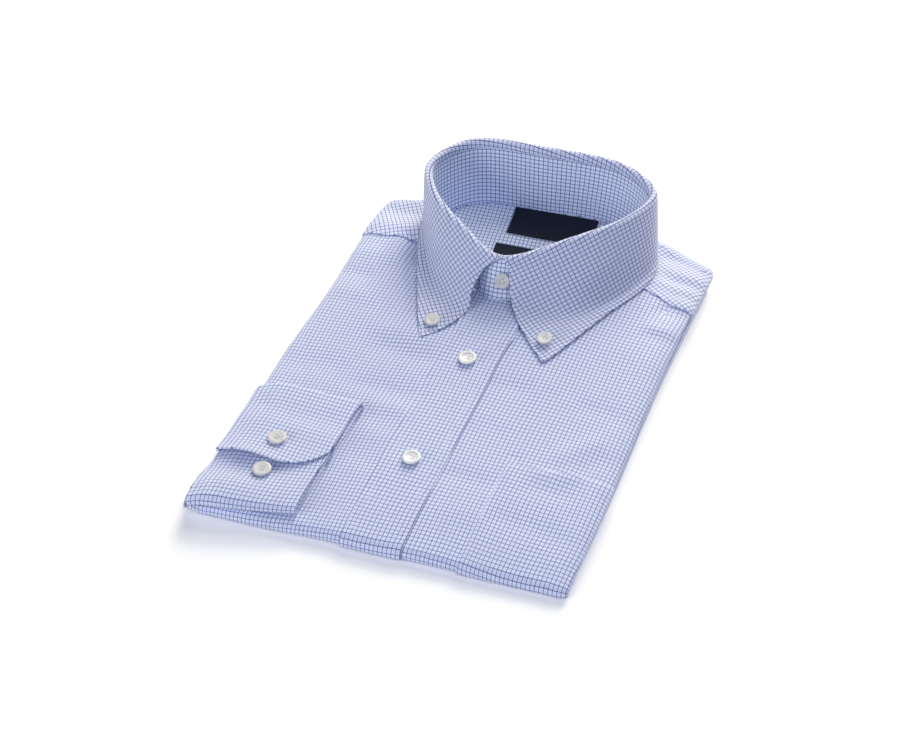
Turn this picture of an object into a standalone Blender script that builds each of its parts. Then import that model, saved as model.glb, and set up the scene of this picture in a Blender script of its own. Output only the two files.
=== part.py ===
"""A folded long-sleeved shirt with a button-down collar, lying on its back.

+X is the wearer's left, +Y runs toward the collar, +Z is up. Sizes are in millimetres and become
metres where a mesh is made. The folded body is one package: a section across it (flat top, then a
rounded side) runs up the shirt, turns round the bottom fold and comes back along the flat underside.
Every piece that lies on the body is made from the package's own points, moved out or in.
"""

import math

import bmesh
import bpy
import numpy as np
from mathutils import Matrix

MM = 0.001
FRAME_SHIFT = (-0.7, -4.7, 0.0)

# Colours
CLOTH_COLOUR = (0.66, 0.72, 0.90)
PEARL_COLOUR = (0.86, 0.85, 0.82)
LABEL_COLOUR = (0.012, 0.018, 0.05)

# Cloth
WALL = 1.1
GAP = 0.3
DOUBLE_WALL = 1.3
SLEEVE_WALL = 2.4

# Folded package
SIDE_LEFT, SIDE_RIGHT = -106.0, 113.2
FLARE_LEFT, FLARE_LEFT_LOW, FLARE_RIGHT = 4.3, 4.4, 4.6
BOTTOM_Y, BOTTOM_SLANT, BOTTOM_LEFT_DROP = -153.3, 0.052, 2.4
TOP_Y, TOP_SLANT, SHOULDER_SLOPE = 159.5, 0.085, 0.205
NECK_RISE, NECK_RISE_X, NECK_RISE_WIDE = 8.5, 5.0, 70.0
SIDE_ROLL, END_ROLL, SIDE_TUCK = 12.0, 7.0, 3.0
FOLD_THICK, BODY_THICK, NECK_THICK = 9.6, 15.5, 19.0
FLAP_SHORT = 16.0
CORE_DEPTH, CORE_SIDE, NECK_CLEAR = 1.45, 3.8, 13.0

# Front
BAND_LEFT, BAND_RIGHT, BAND_TOP = -18.2, 18.8, 55.3
BAND_LEDGE = 17.3
FOLD_RUN_OUT = math.radians(130)
SEAM_RIGHT_OUT, SEAM_LEFT_OUT = 94.1, 90.3
POCKET_EDGE, POCKET_TOP, POCKET_SLANT, POCKET_GAP = 53.0, -72.3, 0.098, 0.36

# Neck and collar
FLOOR_Z, FLOOR_RISE = 14.0, 14.0
NECK_INSET = 1.5
NECK_STATIONS = 40
SEAM_RIGHT_AT, SEAM_LEFT_AT = 32, 9
ROLL_RADIUS, TONGUE = 1.9, 3.2
BAND_OVERLAP, OVERLAP_STEP = 0.034, 0.85
LEAF_END = 0.010
COLLAR_COLUMNS = ("crest_x", "crest_y", "crest_z", "foot_x", "foot_y", "edge_x", "edge_y", "edge_z")
COLLAR_STATIONS = np.array([
    (-2.2, 65.6, 46.0, -2.0, 57.3, 0.0, 0.0, 0.0),
    (-36.5, 79.5, 54.2, -37.0, 69.0, -50.0, 41.0, 20.6),
    (-62.0, 100.0, 58.5, -60.5, 89.0, -66.5, 84.5, 20.2),
    (-71.5, 124.0, 60.5, -66.5, 118.0, -73.0, 121.0, 19.5),
    (-52.0, 151.5, 62.3, -49.0, 145.5, -58.0, 162.0, 18.0),
    (-5.0, 158.7, 63.0, -4.0, 153.0, -5.0, 170.5, 17.0),
    (42.0, 161.2, 62.3, 38.0, 157.0, 48.0, 173.0, 18.0),
    (69.5, 144.0, 61.0, 65.0, 138.0, 75.5, 146.0, 19.0),
    (62.5, 118.0, 59.0, 62.5, 108.0, 80.5, 100.0, 20.0),
    (36.5, 90.3, 56.0, 39.0, 79.0, 67.0, 61.0, 20.6),
])
LEFT_TIP = (-34.5, 6.0, 20.3)
RIGHT_TIP = (44.6, 10.8, 20.3)
FRONT_EDGE_BOW_LEFT, FRONT_EDGE_BOW_RIGHT = 11.0, 7.0

# Cuff and sleeve, at the wearer's right
CUFF_WRIST_TOP, CUFF_WRIST_BOTTOM = -45.2, -49.6
CUFF_TOP, CUFF_BOTTOM = -59.5, -155.5
OVERLAP_END, OVERLAP_CORNER = -116.0, 24.0
UNDERLAP_TOP = -98.0
CUFF_RADIUS_TOP, CUFF_RADIUS_BOTTOM = 0.85, 1.7
CUFF_END, CUFF_CORNER_DROP = 0.56, 5.0
SLEEVE_PHIS = [math.radians(a) for a in (6, -6, -22)]

# Buttons and labels
BUTTON_D, BUTTON_THICK = 11.4, 2.6
POINT_BUTTON_D, STAND_BUTTON_D = 9.6, 10.2
FRONT_BUTTONS = ((-0.4, 1.2), (-0.6, -90.1))
CUFF_BUTTONS = ((-80.2, -104.0), (-78.7, -128.3))
POINT_BUTTONS = ((-34.0, 20.0), (38.6, 28.0))
LABEL_W, LABEL_H, LABEL_THICK = 55.0, 25.0, 0.6
LABEL_AT, LABEL_TURN = (5.0, 139.5), math.radians(6.5)
TAB_W, TAB_H = 26.0, 14.0
TAB_AT = (-10.0, 106.5)


# ---------------------------------------------------------------- package form

def smooth(t):
    t = min(max(t, 0.0), 1.0)
    return t * t * (3 - 2 * t)


def side_right(y):
    return SIDE_RIGHT + FLARE_RIGHT * smooth((55 - y) / 160)


def side_left(y):
    return SIDE_LEFT - FLARE_LEFT * smooth((45 - y) / 85) - FLARE_LEFT_LOW * smooth((-126 - y) / 34)


def bottom_y(x):
    return BOTTOM_Y + BOTTOM_SLANT * x - BOTTOM_LEFT_DROP * smooth((-20 - x) / 60)


def top_y(x):
    neck = NECK_RISE * math.exp(-((x - NECK_RISE_X) / NECK_RISE_WIDE) ** 2)
    return TOP_Y + TOP_SLANT * x - SHOULDER_SLOPE * math.sqrt(x * x + 90) + neck


def body_height(x, y):
    """Thickness of the whole package, thin at the bottom fold and full under the collar."""
    fold = FOLD_THICK - 2.4 * smooth((x - 20) / 90)
    full = BODY_THICK + (NECK_THICK - BODY_THICK) * smooth((y + 60) / 130)
    full -= 3.6 * smooth((y - 90) / 60)
    full -= 1.6 * (x / 110) ** 2 * (1 + 1.4 * smooth((y - 80) / 60))
    run = max(y - bottom_y(x), 0.0)
    return fold + (full - fold) * (1 - math.exp(-run / 42))


def side_profile(y, sign, phi, depth):
    """(x, w) of the rounded side: w is measured from the middle plane of the package."""
    edge = side_right(y) if sign > 0 else side_left(y)
    half = body_height(edge - sign * SIDE_ROLL, y) / 2
    centre = 0.45 * half
    if phi >= 0:
        wide, high = SIDE_ROLL, half - centre
    else:
        wide, high = SIDE_TUCK, centre
    normal = np.array([math.cos(phi) / wide, math.sin(phi) / high])
    normal /= np.linalg.norm(normal)
    out = -wide + wide * math.cos(phi) - normal[0] * depth
    return edge + sign * out, centre + high * math.sin(phi) - normal[1] * depth, half


def flat_profile(x, y, depth):
    half = body_height(x, y) / 2
    return x, half - depth, half


def placed(x, w, half, y, way):
    """A section point in space: way is 'over', 'under' or an angle of the bottom turn."""
    if way == "over":
        return (x, y, half + w)
    if way == "under":
        return (x, y, half - w)
    return (x, y - w * math.sin(way), half + w * math.cos(way))


def package_row(xs, ys, sign, phis, depth, way):
    """One line across the package: flat points, then the rounded side if phis are given."""
    row = []
    for x, y in zip(xs, ys):
        px, w, half = flat_profile(x, y, depth)
        row.append(placed(px, w, half, y, way))
    for phi in phis:
        px, w, half = side_profile(ys[-1], sign, phi, depth)
        row.append(placed(px, w, half, ys[-1], way))
    return row


def steps(first, last, count):
    return [first + (last - first) * k / (count - 1) for k in range(count)]


SIDE_PHIS = [math.radians(a) for a in (66, 42, 18, -6, -28, -50)]


def flat_end(y, sign):
    return side_right(y) - SIDE_ROLL if sign > 0 else side_left(y) + SIDE_ROLL


# ---------------------------------------------------------------- mesh helpers

def material(name, colour, rough, sheen=0.0):
    mat = bpy.data.materials.new(name)
    mat.use_nodes = True
    shader = mat.node_tree.nodes["Principled BSDF"]
    shader.inputs["Base Color"].default_value = (*colour, 1.0)
    shader.inputs["Roughness"].default_value = rough
    shader.inputs["Sheen Weight"].default_value = sheen
    return mat


def finish(name, bm, mat):
    bmesh.ops.recalc_face_normals(bm, faces=bm.faces)
    mesh = bpy.data.meshes.new(name)
    bm.to_mesh(mesh)
    bm.free()
    mesh.materials.append(mat)
    mesh.polygons.foreach_set("use_smooth", [True] * len(mesh.polygons))
    mesh.set_sharp_from_angle(angle=math.radians(42))
    obj = bpy.data.objects.new(name, mesh)
    bpy.context.scene.collection.objects.link(obj)
    return obj


def grid_faces(bm, rows, ring=False):
    wide = len(rows[0])
    for low, high in zip(rows, rows[1:]):
        for k in range(wide if ring else wide - 1):
            m = (k + 1) % wide
            bm.faces.new((low[k], low[m], high[m], high[k]))


def sheet(name, outer, inner, mat):
    """A cloth wall between two grids of the same shape, closed along its four edges."""
    bm = bmesh.new()
    tops = [[bm.verts.new(np.array(p) * MM) for p in row] for row in outer]
    lows = [[bm.verts.new(np.array(p) * MM) for p in row] for row in inner]
    grid_faces(bm, tops)
    grid_faces(bm, [list(reversed(row)) for row in lows])
    rim_top = tops[0] + [r[-1] for r in tops[1:]] + tops[-1][-2::-1] + [r[0] for r in tops[-2:0:-1]]
    rim_low = lows[0] + [r[-1] for r in lows[1:]] + lows[-1][-2::-1] + [r[0] for r in lows[-2:0:-1]]
    grid_faces(bm, [rim_top, rim_low], ring=True)
    return finish(name, bm, mat)


# ---------------------------------------------------------------- collar form

def column(name, s):
    """A collar size at s, once round the ring from the centre front: a closed smooth curve."""
    values = COLLAR_STATIONS[:, COLLAR_COLUMNS.index(name)]
    count = len(values)
    at = (s % 1.0) * count
    k = int(at) % count
    t = at - int(at)
    p0, p1, p2, p3 = (values[(k + j) % count] for j in (-1, 0, 1, 2))
    return 0.5 * (2 * p1 + (p2 - p0) * t + (2 * p0 - 5 * p1 + 4 * p2 - p3) * t * t
                  + (3 * p1 - p0 - 3 * p2 + p3) * t ** 3)


def foot_at(s):
    return np.array([column("foot_x", s), column("foot_y", s)])


def crest_at(s):
    return np.array([column("crest_x", s), column("crest_y", s), column("crest_z", s)])


def outward(curve, s):
    ahead = curve(s + 0.004)[:2] - curve(s - 0.004)[:2]
    ahead /= np.linalg.norm(ahead)
    return np.array([-ahead[1], ahead[0]])


def neck_at(s):
    """The cut neck edge of the body, just inside the foot of the stand."""
    return foot_at(s) - outward(foot_at, s) * NECK_INSET


def edge_at(s):
    """The free edge of the leaf, from one point round the back to the other."""
    count = len(COLLAR_STATIONS)
    rows = [LEFT_TIP] + [tuple(COLLAR_STATIONS[k, 5:8]) for k in range(1, count)] + [RIGHT_TIP]
    rows = [tuple(2 * np.array(rows[0]) - np.array(rows[1]))] + rows
    rows = np.array(rows + [tuple(2 * np.array(rows[-1]) - np.array(rows[-2]))])
    at = min(max((s - LEAF_END) / (1 - 2 * LEAF_END), 0.0), 1.0) * count
    k = min(int(at), count - 1)
    t = at - k
    p0, p1, p2, p3 = rows[k], rows[k + 1], rows[k + 2], rows[k + 3]
    return 0.5 * (2 * p1 + (p2 - p0) * t + (2 * p0 - 5 * p1 + 4 * p2 - p3) * t * t
                  + (3 * p1 - p0 - 3 * p2 + p3) * t ** 3)


NECK_RING = np.array([neck_at(k / 80) for k in range(80)])


def inside_neck(x, y):
    """Distance into the neck opening, from its cut edge; below zero outside."""
    ring = NECK_RING
    nxt = np.roll(ring, -1, axis=0)
    p = np.array([x, y])
    along = nxt - ring
    t = np.clip(((p - ring) * along).sum(1) / (along ** 2).sum(1), 0, 1)
    gap = np.linalg.norm(p - ring - along * t[:, None], axis=1).min()
    cross = (ring[:, 1] > y) != (nxt[:, 1] > y)
    reach = ring[:, 0] + (y - ring[:, 1]) / np.where(cross, nxt[:, 1] - ring[:, 1], 1.0) * along[:, 0]
    return gap if np.count_nonzero(cross & (x < reach)) % 2 else -gap


def floor_height(x, y):
    """Top of the yoke lining in the neck opening: a shallow bowl that rises to the neck edge."""
    deep = smooth(inside_neck(x, y) / FLOOR_RISE)
    return body_height(x, y) * (1 - deep) + FLOOR_Z * deep


# ---------------------------------------------------------------- body pieces

def neck_front_y(x):
    """Where the front line at x meets the cut neck edge."""
    near = sorted((tuple(p) for p in (neck_at(k / NECK_STATIONS) for k in range(-4, 5))))
    return float(np.interp(x, [p[0] for p in near], [p[1] for p in near]))


def front_lines(sign, start, neck):
    """Lines across a front, from the bottom fold to the yoke seam: (inner x, inner y, outer y)."""
    rise = neck_front_y(start) - bottom_y(start)
    inner = [(start, bottom_y(start) + rise * t ** 1.35) for t in steps(0.0, 1.0, 12)]
    inner += [tuple(p) for p in neck]
    high = SEAM_RIGHT_OUT if sign > 0 else SEAM_LEFT_OUT
    low = bottom_y(side_right(-150) if sign > 0 else side_left(-150))
    run = np.concatenate([[0], np.cumsum([math.dist(a, b) for a, b in zip(inner, inner[1:])])])
    return [(x, y, low + (high - low) * r / run[-1]) for (x, y), r in zip(inner, run)]


def front_rows(sign, start, neck, depth):
    """Rows of a front from the yoke seam down, round the bottom fold and back underneath."""
    count = 7
    rows = []
    for x0, y0, y1 in reversed(front_lines(sign, start, neck)):
        xs, ys = steps(x0, flat_end(y1, sign), count), steps(y0, y1, count)
        rows.append(package_row(xs, ys, sign, SIDE_PHIS, depth, "over"))
    low = front_lines(sign, start, neck)[0][2]
    xs = steps(start, flat_end(low, sign), count)
    for angle in steps(math.radians(22.5), math.radians(157.5), 7):
        rows.append(package_row(xs, [bottom_y(x) for x in xs], sign, SIDE_PHIS, depth, angle))
    for t in (0.0, 0.05, 0.12, 0.22, 0.45, 0.7, 1.0):
        ys = [bottom_y(x) + t * (top_y(x) - FLAP_SHORT - bottom_y(x)) for x in xs]
        wide = steps(start, flat_end(ys[-1], sign), count)
        rows.append(package_row(wide, ys, sign, SIDE_PHIS, depth, "under"))
    return rows


def neck_path(first, last):
    """Neck edge points at the shared stations, from one station number to another."""
    way = 1 if last > first else -1
    return [neck_at(k / NECK_STATIONS) for k in range(first, last + way, way)]


def front_left(mat):
    neck = [p for p in neck_path(NECK_STATIONS, SEAM_RIGHT_AT) if p[0] > BAND_LEDGE + 1]
    return sheet("front_left", *[front_rows(1, BAND_LEDGE, neck, depth) for depth in (0.0, WALL)], mat)


def right_neck():
    return [p for p in neck_path(-2, SEAM_LEFT_AT) if p[0] < BAND_LEDGE - GAP - 1]


def front_right(mat):
    start = BAND_LEDGE - GAP
    return sheet("front_right", *[front_rows(-1, start, right_neck(), depth) for depth in (0.0, WALL)], mat)


def strip_rows(xs, tops, count, phis, depth):
    """A piece on the left front, from its top edge down and a little way round the bottom fold."""
    rows = []
    for t in steps(0.0, 1.0, count):
        ys = [top + t * (bottom_y(x) - top) for x, top in zip(xs, tops)]
        line = list(xs[:-1]) + [flat_end(ys[-1], 1)] if phis else xs
        rows.append(package_row(line, ys, 1, phis, depth, "over"))
    for angle in steps(FOLD_RUN_OUT / 6, FOLD_RUN_OUT, 6):
        line = list(xs[:-1]) + [flat_end(bottom_y(xs[-1]), 1)] if phis else xs
        rows.append(package_row(line, [bottom_y(x) for x in xs], 1, phis, depth, angle))
    return rows


def front_band(mat):
    xs = steps(BAND_LEFT, BAND_RIGHT, 4)
    grids = [strip_rows(xs, [BAND_TOP] * 4, 12, [], -GAP - deep) for deep in (WALL, 0.0)]
    return sheet("front_band", *grids, mat)


def pocket(mat):
    xs = steps(POCKET_EDGE, flat_end(-70, 1), 5)
    tops = [POCKET_TOP + POCKET_SLANT * (x - POCKET_EDGE) for x in xs]
    grids = [strip_rows(xs, tops, 8, SIDE_PHIS[:-1], -POCKET_GAP - deep) for deep in (WALL, 0.0)]
    return sheet("pocket", *grids, mat)


def rim_path():
    """Plan stations of the shoulder end: side, rounded corner, end, rounded corner, side."""
    path = []
    corner = 8.0
    for y in (SEAM_LEFT_OUT + 0.3, 103.0):
        path.append((side_left(y), y, -1.0, 0.0))
    left = side_left(130)
    for a in (30, 60):
        way = math.radians(180 - a)
        cx, cy = left + corner, top_y(left + corner) - corner
        nx, ny = math.cos(way), math.sin(way)
        path.append((cx + corner * nx, cy + corner * ny, nx, ny))
    for x in (-90, -76, -62, -48, -34, -20, -6, 8, 22, 36, 50, 64, 78, 92):
        path.append((x, top_y(x), 0.0, 1.0))
    right = side_right(130)
    for a in (60, 30):
        way = math.radians(a)
        cx, cy = right - corner, top_y(right - corner) - corner
        nx, ny = math.cos(way), math.sin(way)
        path.append((cx + corner * nx, cy + corner * ny, nx, ny))
    for y in (134.0, 121.0, 107.0, SEAM_RIGHT_OUT + 0.3):
        path.append((side_right(y), y, 1.0, 0.0))
    return path


def rim_roll(station, neck):
    roll = SIDE_ROLL + (END_ROLL - SIDE_ROLL) * station[3] ** 2
    return min(roll, max(3.0, math.dist(station[:2], neck) * 0.5))


def rim_point(station, roll, phi, depth):
    """A point of the rounded rim: the side profile turned to face along the station's normal."""
    x, y, nx, ny = station
    half = body_height(x - nx * roll, y - ny * roll) / 2
    centre = 0.45 * half
    wide, high = (roll, half - centre) if phi >= 0 else (SIDE_TUCK, centre)
    normal = np.array([math.cos(phi) / wide, math.sin(phi) / high])
    normal /= np.linalg.norm(normal)
    out = -wide + wide * math.cos(phi) - normal[0] * depth
    return (x + nx * out, y + ny * out, half + centre + high * math.sin(phi) - normal[1] * depth)


def yoke_rows(depth):
    path = rim_path()
    rows = []
    for k, station in enumerate(path):
        x0, y0 = neck_at((SEAM_LEFT_AT + k) / NECK_STATIONS)
        if k in (0, len(path) - 1):
            y0 += GAP
        x, y, nx, ny = station
        roll = rim_roll(station, (x0, y0))
        x1, y1 = x - nx * roll, y - ny * roll
        row = []
        for px, py in zip(steps(x0, x1, 4), steps(y0, y1, 4)):
            row.append((px, py, body_height(px, py) - depth))
        rows.append(row + [rim_point(station, roll, phi, depth) for phi in SIDE_PHIS])
    return rows


def yoke(mat):
    return sheet("yoke", yoke_rows(0.0), yoke_rows(WALL), mat)


def yoke_lining(mat):
    """The floor of the neck opening, as rings that shrink to its middle."""
    bm = bmesh.new()
    count, shrink = NECK_STATIONS, (0.0, 0.10, 0.24, 0.44, 0.72)
    middle = NECK_RING.mean(axis=0)
    shells = []
    for depth in (0.0, WALL):
        rings = []
        for part in shrink:
            ring = []
            for k in range(count):
                s = k / count
                edge = foot_at(s) - outward(foot_at, s) * (NECK_INSET + 2 * GAP)
                x, y = edge + (middle - edge) * part
                ring.append(bm.verts.new(np.array((x, y, floor_height(x, y) - depth)) * MM))
            rings.append(ring)
        hub = bm.verts.new(np.array((*middle, floor_height(*middle) - depth)) * MM)
        grid_faces(bm, rings, ring=True)
        for k in range(count):
            bm.faces.new((rings[-1][k], rings[-1][(k + 1) % count], hub))
        shells.append(rings[0])
    grid_faces(bm, shells, ring=True)
    return finish("yoke_lining", bm, mat)


def folded_layers(mat):
    """Back, sleeves, side folds and tail: one rounded solid inside the fronts and the yoke."""
    xs_unit = (-1.0, -0.97, -0.92, -0.84, -0.68, -0.54, -0.42, -0.22, 0.0,
               0.22, 0.42, 0.54, 0.68, 0.84, 0.92, 0.97, 1.0)
    rows_y = (0.0, 0.06, 0.14, 0.26, 0.40, 0.54, 0.62, 0.67, 0.72, 0.77, 0.83, 0.89, 0.935, 0.97, 1.0)
    radius = 16.0

    def plan(u, v):
        mid_low, mid_high = bottom_y(0), top_y(0) - CORE_SIDE
        y_mid = mid_low + (mid_high - mid_low) * v
        tuck = CORE_SIDE + 2.5 * (1 - smooth(v / 0.1))
        left, right = side_left(y_mid) + tuck, side_right(y_mid) - tuck
        x = left + (right - left) * (u + 1) / 2
        high = top_y(x) - CORE_SIDE
        y = bottom_y(x) + (high - bottom_y(x)) * v
        over = max(y - (high - radius), 0.0) / radius
        squeeze = 1 - (1 - math.sqrt(max(1 - over * over, 0.0))) * radius / 110 * 0.8
        mid = (left + right) / 2
        return mid + (x - mid) * squeeze, y, over

    def lift(u, x, y, over):
        """Height over the middle plane: full in the middle, rounded down toward side and end."""
        half = body_height(x, y) / 2
        edge = side_right(y) if u > 0 else side_left(y)
        run = max(0.0, SIDE_ROLL - (abs(edge - x) - CORE_SIDE * 0.4)) / SIDE_ROLL
        side = math.sqrt(max(0.0, 1 - min(run, 1.0) ** 2))
        end = math.sqrt(max(0.0, 1 - min(over, 1.0) ** 2 * 0.9))
        centre = 0.45 * half
        return centre * 0.8 + (half - CORE_DEPTH - centre * 0.8) * min(side, end), half

    bm = bmesh.new()
    tops, lows = [], []
    for v in rows_y:
        top, low = [], []
        for u in xs_unit:
            x, y, over = plan(u, v)
            rise, half = lift(u, x, y, over)
            high = half + rise
            if inside_neck(x, y) > -NECK_CLEAR:
                high = min(high, FLOOR_Z - CORE_DEPTH)
            top.append(bm.verts.new(np.array((x, y, high)) * MM))
            low.append(bm.verts.new(np.array((x, y, half - rise)) * MM))
        tops.append(top)
        lows.append(low)
    grid_faces(bm, tops)
    grid_faces(bm, lows)
    turn = [tops[0]]
    for angle in steps(math.radians(30), math.radians(150), 5):
        line = []
        for a, b in zip(tops[0], lows[0]):
            mid, reach = (a.co.z + b.co.z) / 2, (a.co.z - b.co.z) / 2
            y, z = a.co.y - reach * math.sin(angle), mid + reach * math.cos(angle)
            line.append(bm.verts.new((a.co.x, y, z)))
        turn.append(line)
    turn.append(lows[0])
    grid_faces(bm, turn)
    layered = [tops[-1]]
    for level, out in ((0.75, 0.9), (0.62, 0.0), (0.5, 1.0), (0.38, 0.0), (0.25, 0.9)):
        line = []
        for a, b in zip(tops[-1], lows[-1]):
            line.append(bm.verts.new((a.co.x, a.co.y + out * MM, b.co.z + (a.co.z - b.co.z) * level)))
        layered.append(line)
    layered.append(lows[-1])
    grid_faces(bm, layered)
    for end in (0, -1):
        bottom = [line[end] for line in turn]
        bm.faces.new(bottom)
        for j in range(len(rows_y) - 2):
            bm.faces.new((tops[j][end], tops[j + 1][end], lows[j + 1][end], lows[j][end]))
        last = [line[end] for line in layered]
        bm.faces.new([tops[-2][end]] + last + [lows[-2][end]])
    return finish("folded_layers", bm, mat)


# ---------------------------------------------------------------- collar pieces

def step_aside(s):
    """How far the stand steps in or out where its two front ends lie on each other."""
    if s < 0.5:
        return -OVERLAP_STEP * (1 - smooth((s - 0.02) / 0.10))
    return OVERLAP_STEP * smooth((s - 0.88) / 0.10)


def stand_line(s):
    """Foot point and tongue point of the stand's middle surface at s."""
    out = outward(crest_at, s)
    crest = crest_at(s)
    top = np.array([crest[0] - out[0] * ROLL_RADIUS, crest[1] - out[1] * ROLL_RADIUS,
                    crest[2] - ROLL_RADIUS - DOUBLE_WALL / 2])
    x, y = foot_at(s)
    foot = np.array([x, y, body_height(x, y) + GAP])
    return foot, top


def collar_stand(mat):
    outer, inner = [], []
    for s in steps(-BAND_OVERLAP, 1 + BAND_OVERLAP, 45):
        foot, top = stand_line(s)
        shift = np.append(outward(foot_at, s) * step_aside(s), 0.0)
        side = np.append(outward(foot_at, s) * DOUBLE_WALL / 2, 0.0)
        beyond = max(-s, s - 1.0, 0.0) / BAND_OVERLAP
        reach = np.linalg.norm(top - foot)
        end = (reach - TONGUE - 2 * GAP) / reach
        end *= 1 - 0.22 * (1 - math.sqrt(max(1 - beyond ** 2, 0.0)))
        line = [foot + (top - foot) * end * t for t in (0.0, 0.33, 0.67, 1.0)]
        outer.append([p + shift + side for p in line])
        inner.append([p + shift - side for p in line])
    return sheet("collar_stand", outer, inner, mat)


def leaf_line(s):
    """Middle surface of the leaf at s: up the inside, over the roll and down to the free edge."""
    foot, top = stand_line(s)
    out = np.append(outward(crest_at, s), 0.0)
    up = np.array([0.0, 0.0, 1.0])
    centre = top + out * ROLL_RADIUS
    down = (foot - top) / np.linalg.norm(foot - top)
    line = [top + down * TONGUE]
    for a in (180, 140, 95, 45):
        way = math.radians(a)
        line.append(centre + out * ROLL_RADIUS * math.cos(way) + up * ROLL_RADIUS * math.sin(way))
    start = centre + out * ROLL_RADIUS
    edge = edge_at(s)
    flat = np.array([edge[0] - start[0], edge[1] - start[1], 0.0])
    fall = start[2] - edge[2]
    near = max(0.0, 1 - min(s, 1 - s) / 0.16)
    bow = FRONT_EDGE_BOW_LEFT if s < 0.5 else -FRONT_EDGE_BOW_RIGHT
    across = np.array([-flat[1], flat[0], 0.0]) / max(np.linalg.norm(flat), 1.0)
    c1 = start + flat * 0.14 - up * fall * (0.40 + 0.25 * near)
    c2 = edge - flat * 0.38 + up * fall * (0.12 - 0.04 * near) + across * bow * near ** 2
    for t in (0.0, 0.18, 0.38, 0.6, 0.8, 1.0):
        u = 1 - t
        line.append(u ** 3 * start + 3 * u * u * t * c1 + 3 * u * t * t * c2 + t ** 3 * edge)
    return line


def collar_leaf(mat):
    stations = steps(LEAF_END, 1 - LEAF_END, 41)
    mid = np.array([leaf_line(s) for s in stations])
    along = np.gradient(mid, axis=0)
    down = np.gradient(mid, axis=1)
    normal = np.cross(along, down)
    normal /= np.linalg.norm(normal, axis=2)[:, :, None]
    return sheet("collar_leaf", mid - normal * DOUBLE_WALL / 2, mid + normal * DOUBLE_WALL / 2, mat)


# ---------------------------------------------------------------- cuff and sleeve

def wrist_x(y):
    t = (CUFF_TOP - y) / (CUFF_TOP - CUFF_BOTTOM)
    return CUFF_WRIST_TOP + (CUFF_WRIST_BOTTOM - CUFF_WRIST_TOP) * t


def overlap_end(x):
    """Lower edge of the cuff's overlap, with its large rounded corner at the wrist."""
    into = max(0.0, x - (CUFF_WRIST_TOP - OVERLAP_CORNER)) / OVERLAP_CORNER
    return OVERLAP_END + OVERLAP_CORNER * (1 - math.sqrt(max(0.0, 1 - min(into, 1.0) ** 2)))


def on_right_front(u, y, depth):
    """Point on the right front: u runs from the wrist line (0) to the sleeve joint (1)."""
    flat = flat_end(y, -1)
    x_wrist = wrist_x(y)
    if u <= 1.0:
        x = x_wrist + (flat - x_wrist) * u
        return np.array((x, y, body_height(x, y) - depth))
    x, w, half = side_profile(y, -1, math.radians(90 - 140 * (u - 1.0)), depth)
    return np.array((x, y, half + w))


def cuff_radius(y):
    """The cuff is pressed flat at its top fold and fuller toward its bottom fold."""
    return CUFF_RADIUS_TOP + (CUFF_RADIUS_BOTTOM - CUFF_RADIUS_TOP) * smooth((CUFF_TOP - y) / 80)


def cuff_path(u, offset):
    """(y, depth) round the cuff: overlap, top fold, lower layer, bottom fold, underlap."""
    flat = flat_end(-100, -1)
    x_at = wrist_x(-100) + (flat - wrist_x(-100)) * min(u, 1.0)
    top = CUFF_TOP - CUFF_CORNER_DROP * smooth((u - 0.8) / 0.8)
    half = DOUBLE_WALL / 2
    low = -(GAP + half)
    layer = DOUBLE_WALL + GAP
    wide = CUFF_RADIUS_TOP + layer / 2
    start = CUFF_BOTTOM + CUFF_RADIUS_BOTTOM
    path = [(y, low - 2 * cuff_radius(y) - layer, 0.0, -1.0)
            for y in steps(overlap_end(x_at), top - wide, 6)]
    for a in (45, 90, 135):
        sin, cos = math.sin(math.radians(a)), math.cos(math.radians(a))
        path.append((top - wide + wide * sin, low - wide - wide * cos, sin, -cos))
    path += [(y, low, 0.0, 1.0) for y in steps(top - wide, start, 8)]
    for a in (36, 72, 108, 144):
        sin, cos = math.sin(math.radians(a)), math.cos(math.radians(a))
        path.append((start - CUFF_RADIUS_BOTTOM * sin, low - CUFF_RADIUS_BOTTOM * (1 - cos), -sin, cos))
    path += [(y, low - 2 * cuff_radius(y), 0.0, -1.0) for y in steps(start, UNDERLAP_TOP, 5)]
    return [(y + ny * offset, d + nd * offset) for y, d, ny, nd in path]


def cuff_right(mat):
    grids = []
    for offset in (DOUBLE_WALL / 2, -DOUBLE_WALL / 2):
        rows = []
        for u in (0.0, 0.06, 0.14, 0.25, 0.42, 0.7, *steps(1.0, 1.0 + CUFF_END, 4)):
            rows.append([on_right_front(u, y, d) for y, d in cuff_path(u, offset)])
        grids.append(rows)
    return sheet("cuff_right", *grids, mat)


def sleeve_right(mat):
    """The sleeve, both layers pressed together, from the cuff round the side fold and under."""
    lines = front_lines(-1, BAND_LEDGE - GAP, right_neck())
    high, low = CUFF_TOP - CUFF_CORNER_DROP - 2, CUFF_BOTTOM + 2
    ends = [low] + [y for _, _, y in lines if low + 3 < y < high - 3] + [high]
    grids = []
    for depth in (-GAP - SLEEVE_WALL, -GAP):
        rows = []
        for phi in SLEEVE_PHIS:
            row = [side_profile(y, -1, phi, depth) for y in ends]
            rows.append([(x, y, half + w) for (x, w, half), y in zip(row, ends)])
        grids.append(rows)
    return sheet("sleeve_right", *grids, mat)


# ---------------------------------------------------------------- small pieces

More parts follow.
